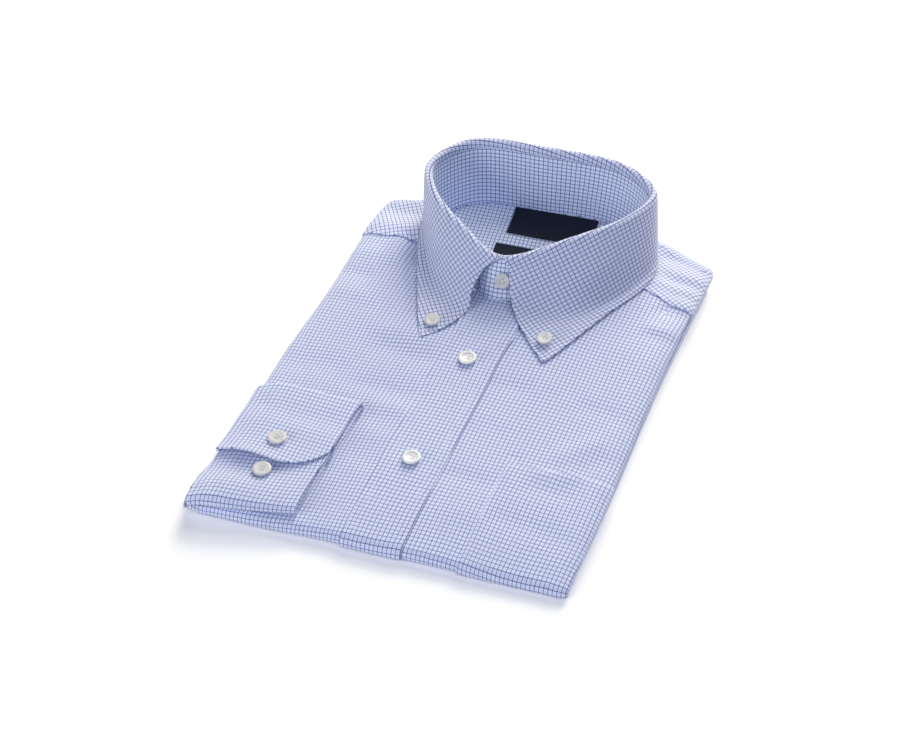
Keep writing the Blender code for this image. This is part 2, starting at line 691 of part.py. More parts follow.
def button(name, centre, normal, diameter):
    """A sewn button: rounded rim, dished middle, turned from one profile."""
    r, t = diameter / 2, BUTTON_THICK
    profile = ((0.0, 0.0), (r - 1.0, 0.0), (r, t * 0.4), (r - 0.2, t * 0.85), (r - 1.1, t),
               (r - 2.0, t * 0.8), (r - 2.6, t * 0.62), (0.0, t * 0.62))
    bm = bmesh.new()
    points = [bm.verts.new((a * MM, 0.0, b * MM)) for a, b in profile]
    edges = [bm.edges.new(pair) for pair in zip(points, points[1:])]
    bmesh.ops.spin(bm, geom=points + edges, cent=(0, 0, 0), axis=(0, 0, 1), angle=2 * math.pi, steps=20)
    bmesh.ops.remove_doubles(bm, verts=bm.verts, dist=0.00001)
    obj = finish(name, bm, material(name.replace("button", "pearl"), PEARL_COLOUR, 0.25))
    z = np.array(normal) / np.linalg.norm(normal)
    x = np.cross((0.0, 1.0, 0.0), z)
    x /= np.linalg.norm(x)
    y = np.cross(z, x)
    for vert in obj.data.vertices:
        vert.co = (np.array(centre) + (x * vert.co.x + y * vert.co.y + z * vert.co.z) / MM) * MM
    return obj


def body_normal(x, y):
    step = 2.0
    dx = (body_height(x + step, y) - body_height(x - step, y)) / (2 * step)
    dy = (body_height(x, y + step) - body_height(x, y - step)) / (2 * step)
    return np.array((-dx, -dy, 1.0)) / math.sqrt(dx * dx + dy * dy + 1)


def button_on_body(name, at, above):
    normal = body_normal(*at)
    centre = np.array((at[0], at[1], body_height(*at))) + normal * above
    return button(name, centre, normal, BUTTON_D)


def leaf_point(at, sign):
    """Outer surface of the leaf above a plan point near one collar point."""
    best = None
    for s in (steps(LEAF_END, 0.12, 30) if sign < 0 else steps(0.88, 1 - LEAF_END, 30)):
        line = leaf_line(s)[5:]
        for a, b in zip(line, line[1:]):
            for t in (0.0, 0.25, 0.5, 0.75):
                p = a + (b - a) * t
                far = math.hypot(p[0] - at[0], p[1] - at[1])
                if best is None or far < best[0]:
                    best = (far, p, b - a, s)
    _, p, down, s = best
    ahead = np.array(leaf_line(min(s + 0.01, 1.0))[8]) - np.array(leaf_line(max(s - 0.01, 0.0))[8])
    normal = np.cross(down, ahead)
    return p, normal / np.linalg.norm(normal)


def point_button(name, at, sign):
    p, normal = leaf_point(at, sign)
    if normal[2] < 0:
        normal = -normal
    return button(name, p + normal * (DOUBLE_WALL / 2 + GAP + 0.45), normal, POINT_BUTTON_D)


def stand_button():
    s = 1.0
    foot, top = stand_line(s)
    out = np.append(outward(foot_at, s), 0.0)
    normal = np.cross(np.cross(top - foot, out), top - foot)
    normal /= np.linalg.norm(normal)
    if normal @ out < 0:
        normal = -normal
    mid = foot + (top - foot) * 0.47 + out * OVERLAP_STEP
    return button("button_stand", mid + normal * (DOUBLE_WALL / 2 + GAP + 0.2), normal, STAND_BUTTON_D)


def label(name, centre, wide, high):
    """A woven label on the yoke lining: a thin strip that follows the floor."""
    cos, sin = math.cos(LABEL_TURN), math.sin(LABEL_TURN)
    grids = []
    for lift in (GAP + LABEL_THICK, GAP):
        rows = []
        for v in steps(-high / 2, high / 2, 4):
            row = []
            for u in steps(-wide / 2, wide / 2, 6):
                x, y = centre[0] + u * cos - v * sin, centre[1] + u * sin + v * cos
                row.append((x, y, floor_height(x, y) + lift))
            rows.append(row)
        grids.append(rows)
    return sheet(name, *grids, material("weave_" + name, LABEL_COLOUR, 0.6))


# ---------------------------------------------------------------- build

def build():
    for obj in list(bpy.data.objects):
        bpy.data.objects.remove(obj)
    pieces = (front_left, front_right, front_band, pocket, yoke, yoke_lining, folded_layers,
              collar_stand, collar_leaf, cuff_right, sleeve_right)
    for piece in pieces:
        piece(material("cloth_" + piece.__name__, CLOTH_COLOUR, 0.85, 0.2))
    on_band = GAP * 2 + WALL
    upper, lower = (GAP * 2 + DOUBLE_WALL + 2 * cuff_radius(at[1]) for at in CUFF_BUTTONS)
    button_on_body("button_front_upper", FRONT_BUTTONS[0], on_band)
    button_on_body("button_front_lower", FRONT_BUTTONS[1], on_band)
    button_on_body("button_cuff_overlap", CUFF_BUTTONS[0], upper + DOUBLE_WALL + GAP)
    button_on_body("button_cuff_underlap", CUFF_BUTTONS[1], lower)
    point_button("button_point_left", POINT_BUTTONS[0], -1)
    point_button("button_point_right", POINT_BUTTONS[1], 1)
    stand_button()
    label("neck_label", LABEL_AT, LABEL_W, LABEL_H)
    label("size_tab", TAB_AT, TAB_W, TAB_H)
    for obj in bpy.data.objects:
        obj.data.transform(Matrix.Translation(np.array(FRAME_SHIFT) * MM))


build()
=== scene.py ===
import math

import bmesh
import bpy
import numpy as np
from mathutils import Matrix, Vector


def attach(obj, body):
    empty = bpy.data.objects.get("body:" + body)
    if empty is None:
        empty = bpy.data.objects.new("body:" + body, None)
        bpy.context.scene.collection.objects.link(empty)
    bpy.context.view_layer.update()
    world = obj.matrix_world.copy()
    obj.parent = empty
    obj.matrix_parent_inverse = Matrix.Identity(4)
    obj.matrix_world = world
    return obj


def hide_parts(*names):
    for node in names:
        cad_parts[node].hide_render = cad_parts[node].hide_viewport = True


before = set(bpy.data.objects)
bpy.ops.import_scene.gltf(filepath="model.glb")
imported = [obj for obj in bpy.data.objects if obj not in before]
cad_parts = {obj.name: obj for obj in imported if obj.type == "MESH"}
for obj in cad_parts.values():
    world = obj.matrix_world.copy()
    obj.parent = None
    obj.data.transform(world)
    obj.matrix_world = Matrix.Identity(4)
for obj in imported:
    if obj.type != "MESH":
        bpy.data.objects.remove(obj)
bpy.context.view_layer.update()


# ---------------------------------------------------------------- left and right front
# Each front is one layer of cotton twill, from the yoke seam and the neck over the top of the folded shirt.
# It rolls down over the side fold and turns round the bottom fold, and its tail runs back flat underneath.

# Sizes are in millimetres from the pattern's own zero, and become metres where a mesh is made.
# Where a size differs from side to side, 1 is the wearer's left and -1 the right.
MM = 0.001
PATTERN_ZERO = np.array((-0.7, -4.7, 0.0))
CLOTH_THICK = 0.8

# The folded outline: where each side starts from, then how far it spreads, below which y and over what run
SIDE_AT = {1: 113.2, -1: -106.0}
SIDE_SPREAD = {1: ((4.6, 55, 160),), -1: ((4.3, 45, 85), (4.4, -126, 34))}
BOTTOM_Y, BOTTOM_SLANT, BOTTOM_SAG = -153.3, 0.052, 2.4
TOP_Y, TOP_SLANT, SHOULDER_SLOPE, SHOULDER_ROUND = 159.5, 0.085, 0.205, 90
NECK_RISE, LEFT_CORNER_DROP = 8.5, 4.5

# How thick the folded shirt is: at the bottom fold, in its body and toward the shoulders
FOLD_HIGH, FOLD_THIN = 9.6, 2.4
BODY_HIGH, CHEST_RISE, SHOULDER_FALL, SIDE_FALL = 15.5, 3.5, 3.6, 1.6
FOLD_REACH = 42

# The side fold: a wide roll from the flat down to the widest place, then a tight tuck underneath
SIDE_ROLL, SIDE_TUCK = 12.0, 3.0
ROLL_FROM, ROLL_TO = 90, -50
ROLL_MIDDLE = 0.45
ROLL_HALF_HIGH = 4.4
TAIL_SHORT = 16.0

# Where each front starts under the band, the stretch of neck that it meets, and its shoulder seam's outer end
FRONT_START = {1: 17.3, -1: 17.0}
FRONT_NECK = {1: (1, 0.8, 41), -1: (-0.05, 0.225, 56)}
SEAM_OUT = {1: 94.1, -1: 90.3}
FLAT_COLUMNS, ROLL_COLUMNS = 62, 16
TAIL_ROWS, TURN_ROWS, TOP_ROWS = 28, 14, 158
FRONT_GRID = FLAT_COLUMNS + ROLL_COLUMNS, TAIL_ROWS + TURN_ROWS + TOP_ROWS

# The check and the yarns in it, how much closer each front's threads lie (across, along), and their slant
CHECK_ACROSS, CHECK_ALONG = 2.6, 3.0
THREADS_ACROSS, THREADS_ALONG = 13, 15
THREAD_CLOSE = {1: (1.0, 1.02), -1: (1.05, 1.09)}
THREAD_SKEW = {1: 0.03, -1: 0.16}
LINE_WIDE, LINE_SOFT = 0.45, 0.28
TWILL_SHOWS = 0.13
GROUND_COLOUR = (0.64, 0.68, 0.87, 1.0)
LINE_COLOUR = (0.060, 0.108, 0.34, 1.0)

CREASE_STRENGTH = 1.25

# Soft ridges (+) and troughs (-) pressed into the fronts: from x0, y0 to x1, y1, half width, height, bow
CREASES = (
    (-74.0, 97.0, -66.0, 70.0, 4.5, -2.6, 1.5),
    (-65.0, 70.0, -47.0, 24.0, 4.5, -1.3, 1.0),
    (-84.0, 92.0, -76.0, 66.0, 5.0, 1.0, 1.0),
    (-106.0, 49.0, -82.0, 50.0, 6.5, -1.0, 1.5),
    (-106.0, 67.0, -80.0, 72.0, 6.0, 0.6, 2.0),
    (-104.0, 33.0, -74.0, 31.0, 6.0, 0.6, 1.0),
    (-74.0, 12.0, -17.0, 9.0, 8.0, 1.0, -1.0),
    (-62.0, -4.0, -17.0, -7.0, 7.0, -0.9, -1.5),
    (-106.0, -37.0, -62.0, -33.0, 9.0, -0.7, 2.0),
    (-62.0, -41.0, -17.0, -39.0, 6.5, -0.8, 1.5),
    (-44.0, -55.0, -17.0, -54.0, 6.5, 0.8, 1.0),
    (-42.0, -76.0, -17.0, -77.0, 6.0, 0.45, -1.0),
    (-40.0, -96.0, -18.0, -100.0, 7.0, -0.35, 1.0),
    (-34.0, -110.0, -28.0, -146.0, 6.0, -0.3, 2.0),
    (92.0, 87.0, 117.0, 82.0, 7.0, -1.5, 2.0),
    (90.0, 69.0, 117.0, 72.0, 4.5, 0.8, -1.5),
    (94.0, 60.0, 116.0, 58.0, 5.0, -0.5, 1.0),
    (72.0, 44.0, 108.0, 36.0, 9.0, 0.4, 2.0),
    (74.0, -12.0, 106.0, -15.0, 7.0, -0.6, 2.0),
    (18.0, -13.0, 44.0, -11.0, 6.0, -0.65, 1.0),
    (20.0, 4.0, 60.0, -2.0, 8.0, 0.4, -2.0),
    (76.0, -62.0, 102.0, -32.0, 7.0, 0.8, 2.0),
    (92.0, -66.0, 112.0, -44.0, 6.0, -0.5, 1.5),
    (51.0, -66.0, 59.0, -67.0, 3.0, -0.6, 0.5),
    (66.0, -73.0, 100.0, -68.0, 5.0, 0.6, -1.5),
    (68.0, -88.0, 98.0, -86.0, 5.5, -0.5, 1.5),
    (18.0, -93.0, 54.0, -92.0, 7.0, -0.7, 1.0),
    (18.0, -36.0, 48.0, -40.0, 8.0, 0.4, -1.0),
    (54.0, -115.0, 112.0, -120.0, 8.0, -0.7, 2.0),
    (22.0, -122.0, 60.0, -118.0, 8.0, 0.4, 1.0),
)


def smooth(t):
    """An even rise from 0 to 1, level at both ends."""
    t = np.clip(t, 0.0, 1.0)
    return t * t * (3 - 2 * t)


def hump(value, middle, reach):
    """A soft bump of height 1, down to about a third at its reach and to almost nothing at twice that."""
    return np.exp(-((value - middle) / reach) ** 2)


def side_edge(y, sign):
    edge = SIDE_AT[sign]
    for out, below, run in SIDE_SPREAD[sign]:
        edge = edge + sign * out * smooth((below - y) / run)
    return edge


def flat_end(y, sign):
    return side_edge(y, sign) - sign * SIDE_ROLL


def bottom_y(x):
    return BOTTOM_Y + BOTTOM_SLANT * x - BOTTOM_SAG * smooth((-20 - x) / 60)


def top_y(x):
    shoulders = TOP_Y + TOP_SLANT * x - SHOULDER_SLOPE * np.sqrt(x * x + SHOULDER_ROUND)
    return shoulders + NECK_RISE * hump(x, 5, 70) - LEFT_CORNER_DROP * smooth((x - 80) / 28)


def crease_height(x, y):
    """How far the creases lift or sink the top of the shirt; each fades out toward its ends."""
    lift = np.zeros(np.broadcast(x, y).shape)
    for x0, y0, x1, y1, wide, high, bow in CREASES:
        long = math.hypot(x1 - x0, y1 - y0)
        ax, ay = (x1 - x0) / long, (y1 - y0) / long
        along = ((x - x0) * ax + (y - y0) * ay) / long
        off = (y - y0) * ax - (x - x0) * ay - bow * 4 * along * (1 - along)
        faded = smooth(along * 2.4 + 0.4) * smooth(2.8 - along * 2.4)
        lift = lift + CREASE_STRENGTH * high * hump(off, 0, wide) * faded
    return lift


def wander(x, y):
    """The washed cloth never lies quite square: its threads drift a little from straight."""
    side = 0.45 * np.sin(x * 0.071 + y * 0.034 + 0.5) + 0.30 * np.sin(y * 0.097 - x * 0.052 + 2.0)
    along = 0.55 * np.sin(x * 0.083 + 1.2 * np.sin(y * 0.031)) + 0.35 * np.sin(x * 0.047 - y * 0.103 + 1.0)
    return np.stack([side, along], axis=-1)


def body_height(x, y):
    """Thickness of the folded shirt, thin at the bottom fold and full under the collar."""
    fold = FOLD_HIGH - FOLD_THIN * smooth((x - 20) / 90)
    full = BODY_HIGH + CHEST_RISE * smooth((y + 60) / 130) - SHOULDER_FALL * smooth((y - 90) / 60)
    full = full - SIDE_FALL * (x / 110) ** 2 * (1 + 1.4 * smooth((y - 80) / 60))
    run = np.maximum(y - bottom_y(x), 0.0)
    return fold + (full - fold) * (1 - np.exp(-run / FOLD_REACH))


def run_along(line):
    """Distance along a line of points, from its first point."""
    return np.concatenate(([0.0], np.cumsum(np.linalg.norm(np.diff(line, axis=0), axis=1))))


ROLL_ANGLES = np.radians(np.linspace(ROLL_FROM, ROLL_TO, 57))
ROLL_WIDE = np.where(ROLL_ANGLES > 0, SIDE_ROLL, SIDE_TUCK)
ROLL_CURVE = np.stack([ROLL_WIDE * np.cos(ROLL_ANGLES), ROLL_HALF_HIGH * np.sin(ROLL_ANGLES)], axis=1)
ROLL_RUN = run_along(ROLL_CURVE)


def roll_length(roll):
    """Cloth used from the end of the flat down to an angle of the side roll."""
    return np.interp(-roll, -ROLL_ANGLES, ROLL_RUN)


def on_shirt(x, y, roll, turn, sign, above):
    """Points on the folded shirt and their place in the cloth. roll is the angle on the side, a right angle
    where the flat ends. turn is the angle round the bottom fold: 0 on top and half a turn underneath."""
    close_across, close_along = THREAD_CLOSE[sign]
    rolled = roll < math.pi / 2 - 1e-6
    edge = side_edge(y, sign)
    x = np.where(rolled, edge - sign * SIDE_ROLL, x)
    half = body_height(x, y) / 2
    centre = np.where(rolled, ROLL_MIDDLE * half, 0.0)
    wide = np.where(roll >= 0, SIDE_ROLL, SIDE_TUCK)
    high = np.where(roll >= 0, half - centre, centre)
    across, up = np.cos(roll) / wide, np.sin(roll) / high
    size = np.hypot(across, up)
    out_x = np.where(rolled, edge + sign * (wide * (np.cos(roll) - 1) + across / size * above), x)
    creased = crease_height(x, y) * np.clip(np.sin(roll), 0, 1) * np.clip(np.cos(turn), 0, 1)
    from_middle = centre + high * np.sin(roll) + up / size * above + creased
    point = np.stack([out_x, y - from_middle * np.sin(turn), half + from_middle * np.cos(turn)], axis=-1)
    thread_x = (x + np.where(rolled, sign * roll_length(roll), 0.0)) * close_across
    under = turn > math.pi - 1e-6
    thread_y = np.where(under, 2 * bottom_y(x) - y, y) - np.minimum(half, 5) * turn
    thread_y = thread_y * close_along - THREAD_SKEW[sign] * x
    return point, np.stack([thread_x, thread_y], axis=-1) + wander(x, y)


# Sizes round the neck, from the centre front by the wearer's right: fold x y z, foot x y, free edge x y z
COLLAR = np.array((
    (-2.2, 65.6, 48.3, -2.0, 57.3, 0.0, 0.0, 0.0),
    (-36.5, 79.5, 54.2, -37.0, 69.0, -49.0, 40.5, 19.5),
    (-62.0, 100.0, 58.5, -60.5, 89.0, -65.8, 84.5, 19.8),
    (-71.5, 124.0, 60.5, -66.5, 118.0, -73.0, 121.0, 19.0),
    (-52.0, 151.5, 62.3, -49.0, 145.5, -58.0, 162.0, 18.0),
    (-5.0, 158.7, 63.0, -4.0, 153.0, -5.0, 170.5, 17.0),
    (42.0, 161.2, 62.3, 38.0, 157.0, 48.0, 173.0, 18.0),
    (69.5, 144.0, 61.0, 65.0, 138.0, 71.5, 146.0, 18.0),
    (62.5, 118.0, 59.0, 62.5, 108.0, 81.3, 110.0, 18.5),
    (36.5, 90.3, 56.0, 39.0, 79.0, 64.5, 63.3, 19.8),
))
NECK_INSET = 1.5


def through(rows, t, closed=False):
    """A smooth curve through the rows; t runs from 0 to 1 along an open one and once round a closed one."""
    count = len(rows)
    if closed:
        at = (t % 1.0) * count
    else:
        at = np.clip(t, 0.0, 1.0) * (count - 1)
        rows = np.concatenate([[2 * rows[0] - rows[1]], rows, [2 * rows[-1] - rows[-2]]])
    k = np.floor(at).astype(int)
    if not closed:
        k = np.minimum(k, count - 2)
    f = (at - k)[..., None]
    if closed:
        p0, p1, p2, p3 = (rows[(k + j) % count] for j in (-1, 0, 1, 2))
    else:
        p0, p1, p2, p3 = (rows[k + j] for j in (0, 1, 2, 3))
    return 0.5 * (2 * p1 + (p2 - p0) * f + (2 * p0 - 5 * p1 + 4 * p2 - p3) * f * f
                  + (3 * p1 - p0 - 3 * p2 + p3) * f ** 3)


def unit(v):
    return v / np.linalg.norm(v, axis=-1, keepdims=True)


def foot_at(s):
    return through(COLLAR[:, 3:5], s, closed=True)


def fold_at(s):
    return through(COLLAR[:, :3], s, closed=True)


def outward(curve, s):
    """Level direction away from the neck at s."""
    ahead = unit(curve(s + 0.004)[..., :2] - curve(s - 0.004)[..., :2])
    return np.stack([-ahead[..., 1], ahead[..., 0]], axis=-1)


def neck_at(s):
    return foot_at(s) - outward(foot_at, s) * NECK_INSET


def fill(tree, node, values):
    """Fills a node's sockets, by name or number: a link where the value is another socket."""
    for key, value in values.items():
        if isinstance(value, bpy.types.NodeSocket):
            tree.links.new(value, node.inputs[key])
        else:
            node.inputs[key].default_value = value


def wire(tree, kind, values, **settings):
    node = tree.nodes.new(kind)
    for name, setting in settings.items():
        setattr(node, name, setting)
    fill(tree, node, values)
    return node


def math_node(tree, operation, *values):
    return wire(tree, "ShaderNodeMath", dict(enumerate(values)), operation=operation).outputs[0]


def vector_node(tree, operation, *values):
    return wire(tree, "ShaderNodeVectorMath", dict(enumerate(values)), operation=operation).outputs[0]


def noise(tree, place, scale, detail, roughness):
    return wire(tree, "ShaderNodeTexNoise", {
        "Vector": place, "Scale": scale, "Detail": detail, "Roughness": roughness}).outputs


def ribs(tree, place, scale, wobble, detail, direction):
    return wire(tree, "ShaderNodeTexWave", {
        "Vector": place, "Scale": scale, "Distortion": wobble, "Detail": detail},
        bands_direction=direction).outputs["Fac"]


def between(tree, value, low, high):
    """0 up to low, 1 from high on, and an even rise between them."""
    return wire(tree, "ShaderNodeMapRange", {"Value": value, "From Min": low, "From Max": high}).outputs[0]


def blend_colour(tree, share, first, second):
    return wire(tree, "ShaderNodeMix", {0: share, 6: first, 7: second}, data_type="RGBA").outputs[2]


def tinted(colour, strength):
    return tuple(min(c * strength, 1.0) for c in colour[:3]) + (1.0,)


def add_relief(tree, shader, height, strength, distance):
    """Fine relief in the surface of a material."""
    bump = wire(tree, "ShaderNodeBump", {"Strength": strength, "Distance": distance, "Height": height})
    fill(tree, shader, {"Normal": bump.outputs[0]})


def start_material(name, finish):
    mat = bpy.data.materials.new(name)
    mat.use_nodes = True
    shader = mat.node_tree.nodes["Principled BSDF"]
    fill(mat.node_tree, shader, finish)
    return mat, mat.node_tree, shader


def check_cloth(name, ground_colour, line_colour):
    """Cotton twill with a fine graph check: the thread map counts checks, and each has its own yarns."""
    mat, tree, shader = start_material(name, {
        "Roughness": 0.82, "Sheen Weight": 0.22, "Sheen Roughness": 0.45,
        "Sheen Tint": (0.86, 0.90, 1.0, 1.0), "Specular IOR Level": 0.25})
    place = wire(tree, "ShaderNodeUVMap", {}, uv_map="thread").outputs[0]
    body = wire(tree, "ShaderNodeTexCoord", {}).outputs["Object"]

    drift = noise(tree, body, 130.0, 2.0, 0.5)
    drift = vector_node(tree, "SUBTRACT", drift["Color"], (0.5, 0.5, 0.5))
    drift = vector_node(tree, "MULTIPLY", drift, (0.16, 0.16, 0.0))
    moved = vector_node(tree, "ADD", place, drift)
    split = wire(tree, "ShaderNodeSeparateXYZ", {0: moved})
    warp, weft = split.outputs[0], split.outputs[1]

    twill = math_node(tree, "ADD", math_node(tree, "MULTIPLY", warp, THREADS_ACROSS),
                     math_node(tree, "MULTIPLY", weft, THREADS_ALONG))
    ridge = math_node(tree, "SINE", math_node(tree, "MULTIPLY", twill, math.pi / 2))
    bare = []
    for along, cell, shown in ((warp, CHECK_ACROSS, TWILL_SHOWS), (weft, CHECK_ALONG, -TWILL_SHOWS)):
        off = math_node(tree, "ABSOLUTE", math_node(tree, "SUBTRACT", math_node(tree, "FRACT", along), 0.5))
        half = LINE_WIDE / 2 / cell
        mark = wire(tree, "ShaderNodeMapRange", {
            "Value": off, "From Min": half * (1 - LINE_SOFT), "From Max": half * (1 + LINE_SOFT),
            "To Min": 1.0, "To Max": 0.0}, interpolation_type="SMOOTHSTEP")
        on_top = math_node(tree, "MULTIPLY_ADD", ridge, shown, 1 - TWILL_SHOWS)
        bare.append(math_node(tree, "SUBTRACT", 1.0, math_node(tree, "MULTIPLY", mark.outputs[0], on_top)))
    inked = math_node(tree, "SUBTRACT", 1.0, math_node(tree, "MULTIPLY", *bare))

    long_yarn = wire(tree, "ShaderNodeMapping", {"Vector": moved, "Scale": (0.9, 9.0, 1.0)}).outputs[0]
    slub = noise(tree, long_yarn, 1.0, 3.0, 0.6)["Fac"]
    ground = blend_colour(tree, between(tree, slub, 0.3, 0.7), tinted(ground_colour, 0.955),
                          tinted(ground_colour, 1.03))
    fill(tree, shader, {"Base Color": blend_colour(tree, inked, ground, line_colour)})
    yarn = math_node(tree, "SINE", math_node(tree, "MULTIPLY", warp, THREADS_ACROSS * math.pi))
    raised = math_node(tree, "ADD", ridge, math_node(tree, "ABSOLUTE", yarn))
    add_relief(tree, shader, math_node(tree, "MULTIPLY_ADD", slub, 0.8, raised), 0.35, 0.00003)
    return mat


def mesh_from(name, bm):
    mesh = bpy.data.meshes.new(name)
    bm.to_mesh(mesh)
    bm.free()
    return mesh


def placed(name, data):
    """A new object that holds the data, in the scene."""
    made = bpy.data.objects.new(name, data)
    bpy.context.scene.collection.objects.link(made)
    return made


def thread_map(mesh, thread):
    """The piece's own map, in checks, from each vertex's place in the cloth."""
    corner = np.empty(len(mesh.loops), int)
    mesh.loops.foreach_get("vertex_index", corner)
    layer = mesh.uv_layers.new(name="thread")
    layer.data.foreach_set("uv", (thread / (CHECK_ACROSS, CHECK_ALONG))[corner].ravel())


def cloth_piece(name, columns, rows, shape, thick, mat, offset=-1.0, turned=False, edge=0.0):
    """A cut piece: a flat grid laid onto the shirt by shape, then given its thickness and its soft edge."""
    bm = bmesh.new()
    bmesh.ops.create_grid(bm, x_segments=columns, y_segments=rows, size=0.5)
    if turned:
        bmesh.ops.reverse_faces(bm, faces=bm.faces)
    mesh = mesh_from(name, bm)
    flat = np.empty(len(mesh.vertices) * 3)
    mesh.vertices.foreach_get("co", flat)
    u, v = (flat.reshape(-1, 3)[:, :2] + 0.5).T
    point, thread = shape(np.clip(u, 0, 1), np.clip(v, 0, 1))
    mesh.vertices.foreach_set("co", ((point + PATTERN_ZERO) * MM).ravel())
    thread_map(mesh, thread)
    mesh.materials.append(mat)
    mesh.shade_smooth()
    piece = placed(name, mesh)
    shell = piece.modifiers.new("thickness", "SOLIDIFY")
    shell.thickness = thick * MM
    shell.offset = offset
    if edge:
        soft = piece.modifiers.new("soft edge", "BEVEL")
        soft.width = edge * MM
        soft.segments = 2
        soft.limit_method = "ANGLE"
        soft.angle_limit = math.radians(50)
        soft.harden_normals = True
    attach(piece, "root")
    return piece


def neck_y(x):
    """Where a line up the front at x meets the cut neck edge."""
    near = neck_at(np.linspace(-0.1, 0.1, 41))
    order = np.argsort(near[:, 0])
    return float(np.interp(x, near[order, 0], near[order, 1]))


def front_shape(sign):
    """One front. u runs from its inner edge out over the side fold; v from the end of its tail, back under
    the shirt, round the bottom fold and up to the shoulder seam."""
    start = FRONT_START[sign]
    neck = [p for p in neck_at(np.linspace(*FRONT_NECK[sign])) if sign * (p[0] - start) > 1]
    path = np.array([(start, float(bottom_y(start))), (start, neck_y(start)), *neck])
    run = run_along(path)
    low, high = float(bottom_y(side_edge(-150.0, sign))), SEAM_OUT[sign]
    fold_end = flat_end(low, sign)
    columns, rows = FRONT_GRID
    flat_share = FLAT_COLUMNS / columns
    tail_share, turn_share = TAIL_ROWS / rows, (TAIL_ROWS + TURN_ROWS) / rows

    def tail_run(x, t):
        return bottom_y(x) + t * (top_y(x) - TAIL_SHORT - bottom_y(x))

    def shape(u, v):
        roll = np.radians(np.interp(u, (flat_share, 1), (ROLL_FROM, ROLL_TO)))
        out = np.minimum(u / flat_share, 1)
        rise = np.clip((v - turn_share) / (1 - turn_share), 0, 1)
        x0, y0 = (np.interp(rise * run[-1], run, path[:, k]) for k in (0, 1))
        y1 = low + (high - low) * rise
        x = x0 + out * (flat_end(y1, sign) - x0)
        y = y0 + out * (y1 - y0)
        fold_y = path[0, 1] + out * (low - path[0, 1])
        y = y + (bottom_y(x) - fold_y) * (1 - smooth(rise / 0.25))

        t = np.clip((tail_share - v) / tail_share, 0, 1)
        tail_y = tail_run(start + out * (fold_end - start), t)
        tail_x = start + out * (flat_end(tail_run(fold_end, t), sign) - start)
        x, y = np.where(t > 0, tail_x, x), np.where(t > 0, tail_y, y)
        turn = math.pi * np.clip((turn_share - v) / (turn_share - tail_share), 0, 1)
        return on_shirt(x, y, roll, turn, sign, 0.0)

    return shape


cloth = check_cloth("check_twill", GROUND_COLOUR, LINE_COLOUR)
front_left = cloth_piece("front_left_panel", *FRONT_GRID, front_shape(1), CLOTH_THICK, cloth)
front_right = cloth_piece("front_right_panel", *FRONT_GRID, front_shape(-1), CLOTH_THICK, cloth, turned=True)
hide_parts("front_left")
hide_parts("front_right")


# ---------------------------------------------------------------- front band
# The buttonhole band down the centre front: the front's edge turned twice and pressed flat, three layers
# thick. It lies on both fronts, and its left edge stands up as a fine ledge that is slack by the collar.

BAND_RIGHT, BAND_LEFT = -18.2, 18.8
BAND_THICK = 1.0
BAND_CLEAR = 0.3
BAND_TURN_SHARE = 0.05
BAND_UNDER_STAND = 0.4
BAND_SLACK_Y = 26
FOLD_RUN_OUT = math.radians(130)
EDGE_PRESSED, EDGE_PRESSED_WIDE = 0.35, 0.5


def band_left_edge(y):
    return BAND_LEFT + 1.6 * hump(y, 29, 8) - 0.5 * hump(y, 4, 8)


def pressed_edge(inset):
    """How much lower the iron has left a turned edge, next to the edge itself."""
    return EDGE_PRESSED * np.exp(-inset / EDGE_PRESSED_WIDE)


def turn_and_rise(v, turn_share):
    """The first part of v turns round the bottom fold, and the rest runs up the front."""
    turn = FOLD_RUN_OUT * np.clip((turn_share - v) / turn_share, 0, 1)
    return turn, np.clip((v - turn_share) / (1 - turn_share), 0, 1)


def band_shape(u, v):
    turn, rise = turn_and_rise(v, BAND_TURN_SHARE)
    x = BAND_RIGHT + u * (BAND_LEFT - BAND_RIGHT)
    top = foot_at(np.interp(x, (-20, 20), (0.055, -0.055)))[..., 1] - BAND_UNDER_STAND
    y = bottom_y(x) + rise * (top - bottom_y(x))
    x = BAND_RIGHT + u * (band_left_edge(y) - BAND_RIGHT)
    inset = np.minimum(u, 1 - u) * (BAND_LEFT - BAND_RIGHT)
    pucker = 0.10 * np.sin(y * 0.9 + 2.0 * np.sin(y * 0.13)) * hump(inset, 3, 2.5)
    above = BAND_CLEAR + BAND_THICK - pressed_edge(inset) + pucker
    above = above + 0.5 * hump(y, BAND_SLACK_Y, 9) * smooth((x - 8) / 10)
    point, thread = on_shirt(x, y, np.full(x.shape, math.pi / 2), turn, 1, above)
    return point, thread + np.stack([0 * x + 0.9, -0.06 * x], axis=-1)


def sewing_thread(name, colour):
    """Twisted cotton thread: a fine slanting band along its own length."""
    mat, tree, shader = start_material(name, {"Roughness": 0.75, "Sheen Weight": 0.3})
    body = wire(tree, "ShaderNodeTexCoord", {}).outputs["Object"]
    twist = ribs(tree, body, 900.0, 1.5, 1.0, "DIAGONAL")
    fill(tree, shader, {"Base Color": blend_colour(tree, twist, tinted(colour, 0.82), (*colour, 1.0))})
    add_relief(tree, shader, twist, 0.4, 0.00005)
    return mat


STITCH_PITCH, STITCH_LONG, STITCH_FINE = 2.4, 0.86, 0.17
STITCH_LIFT = 0.05
STEP_ASIDE = 0.004


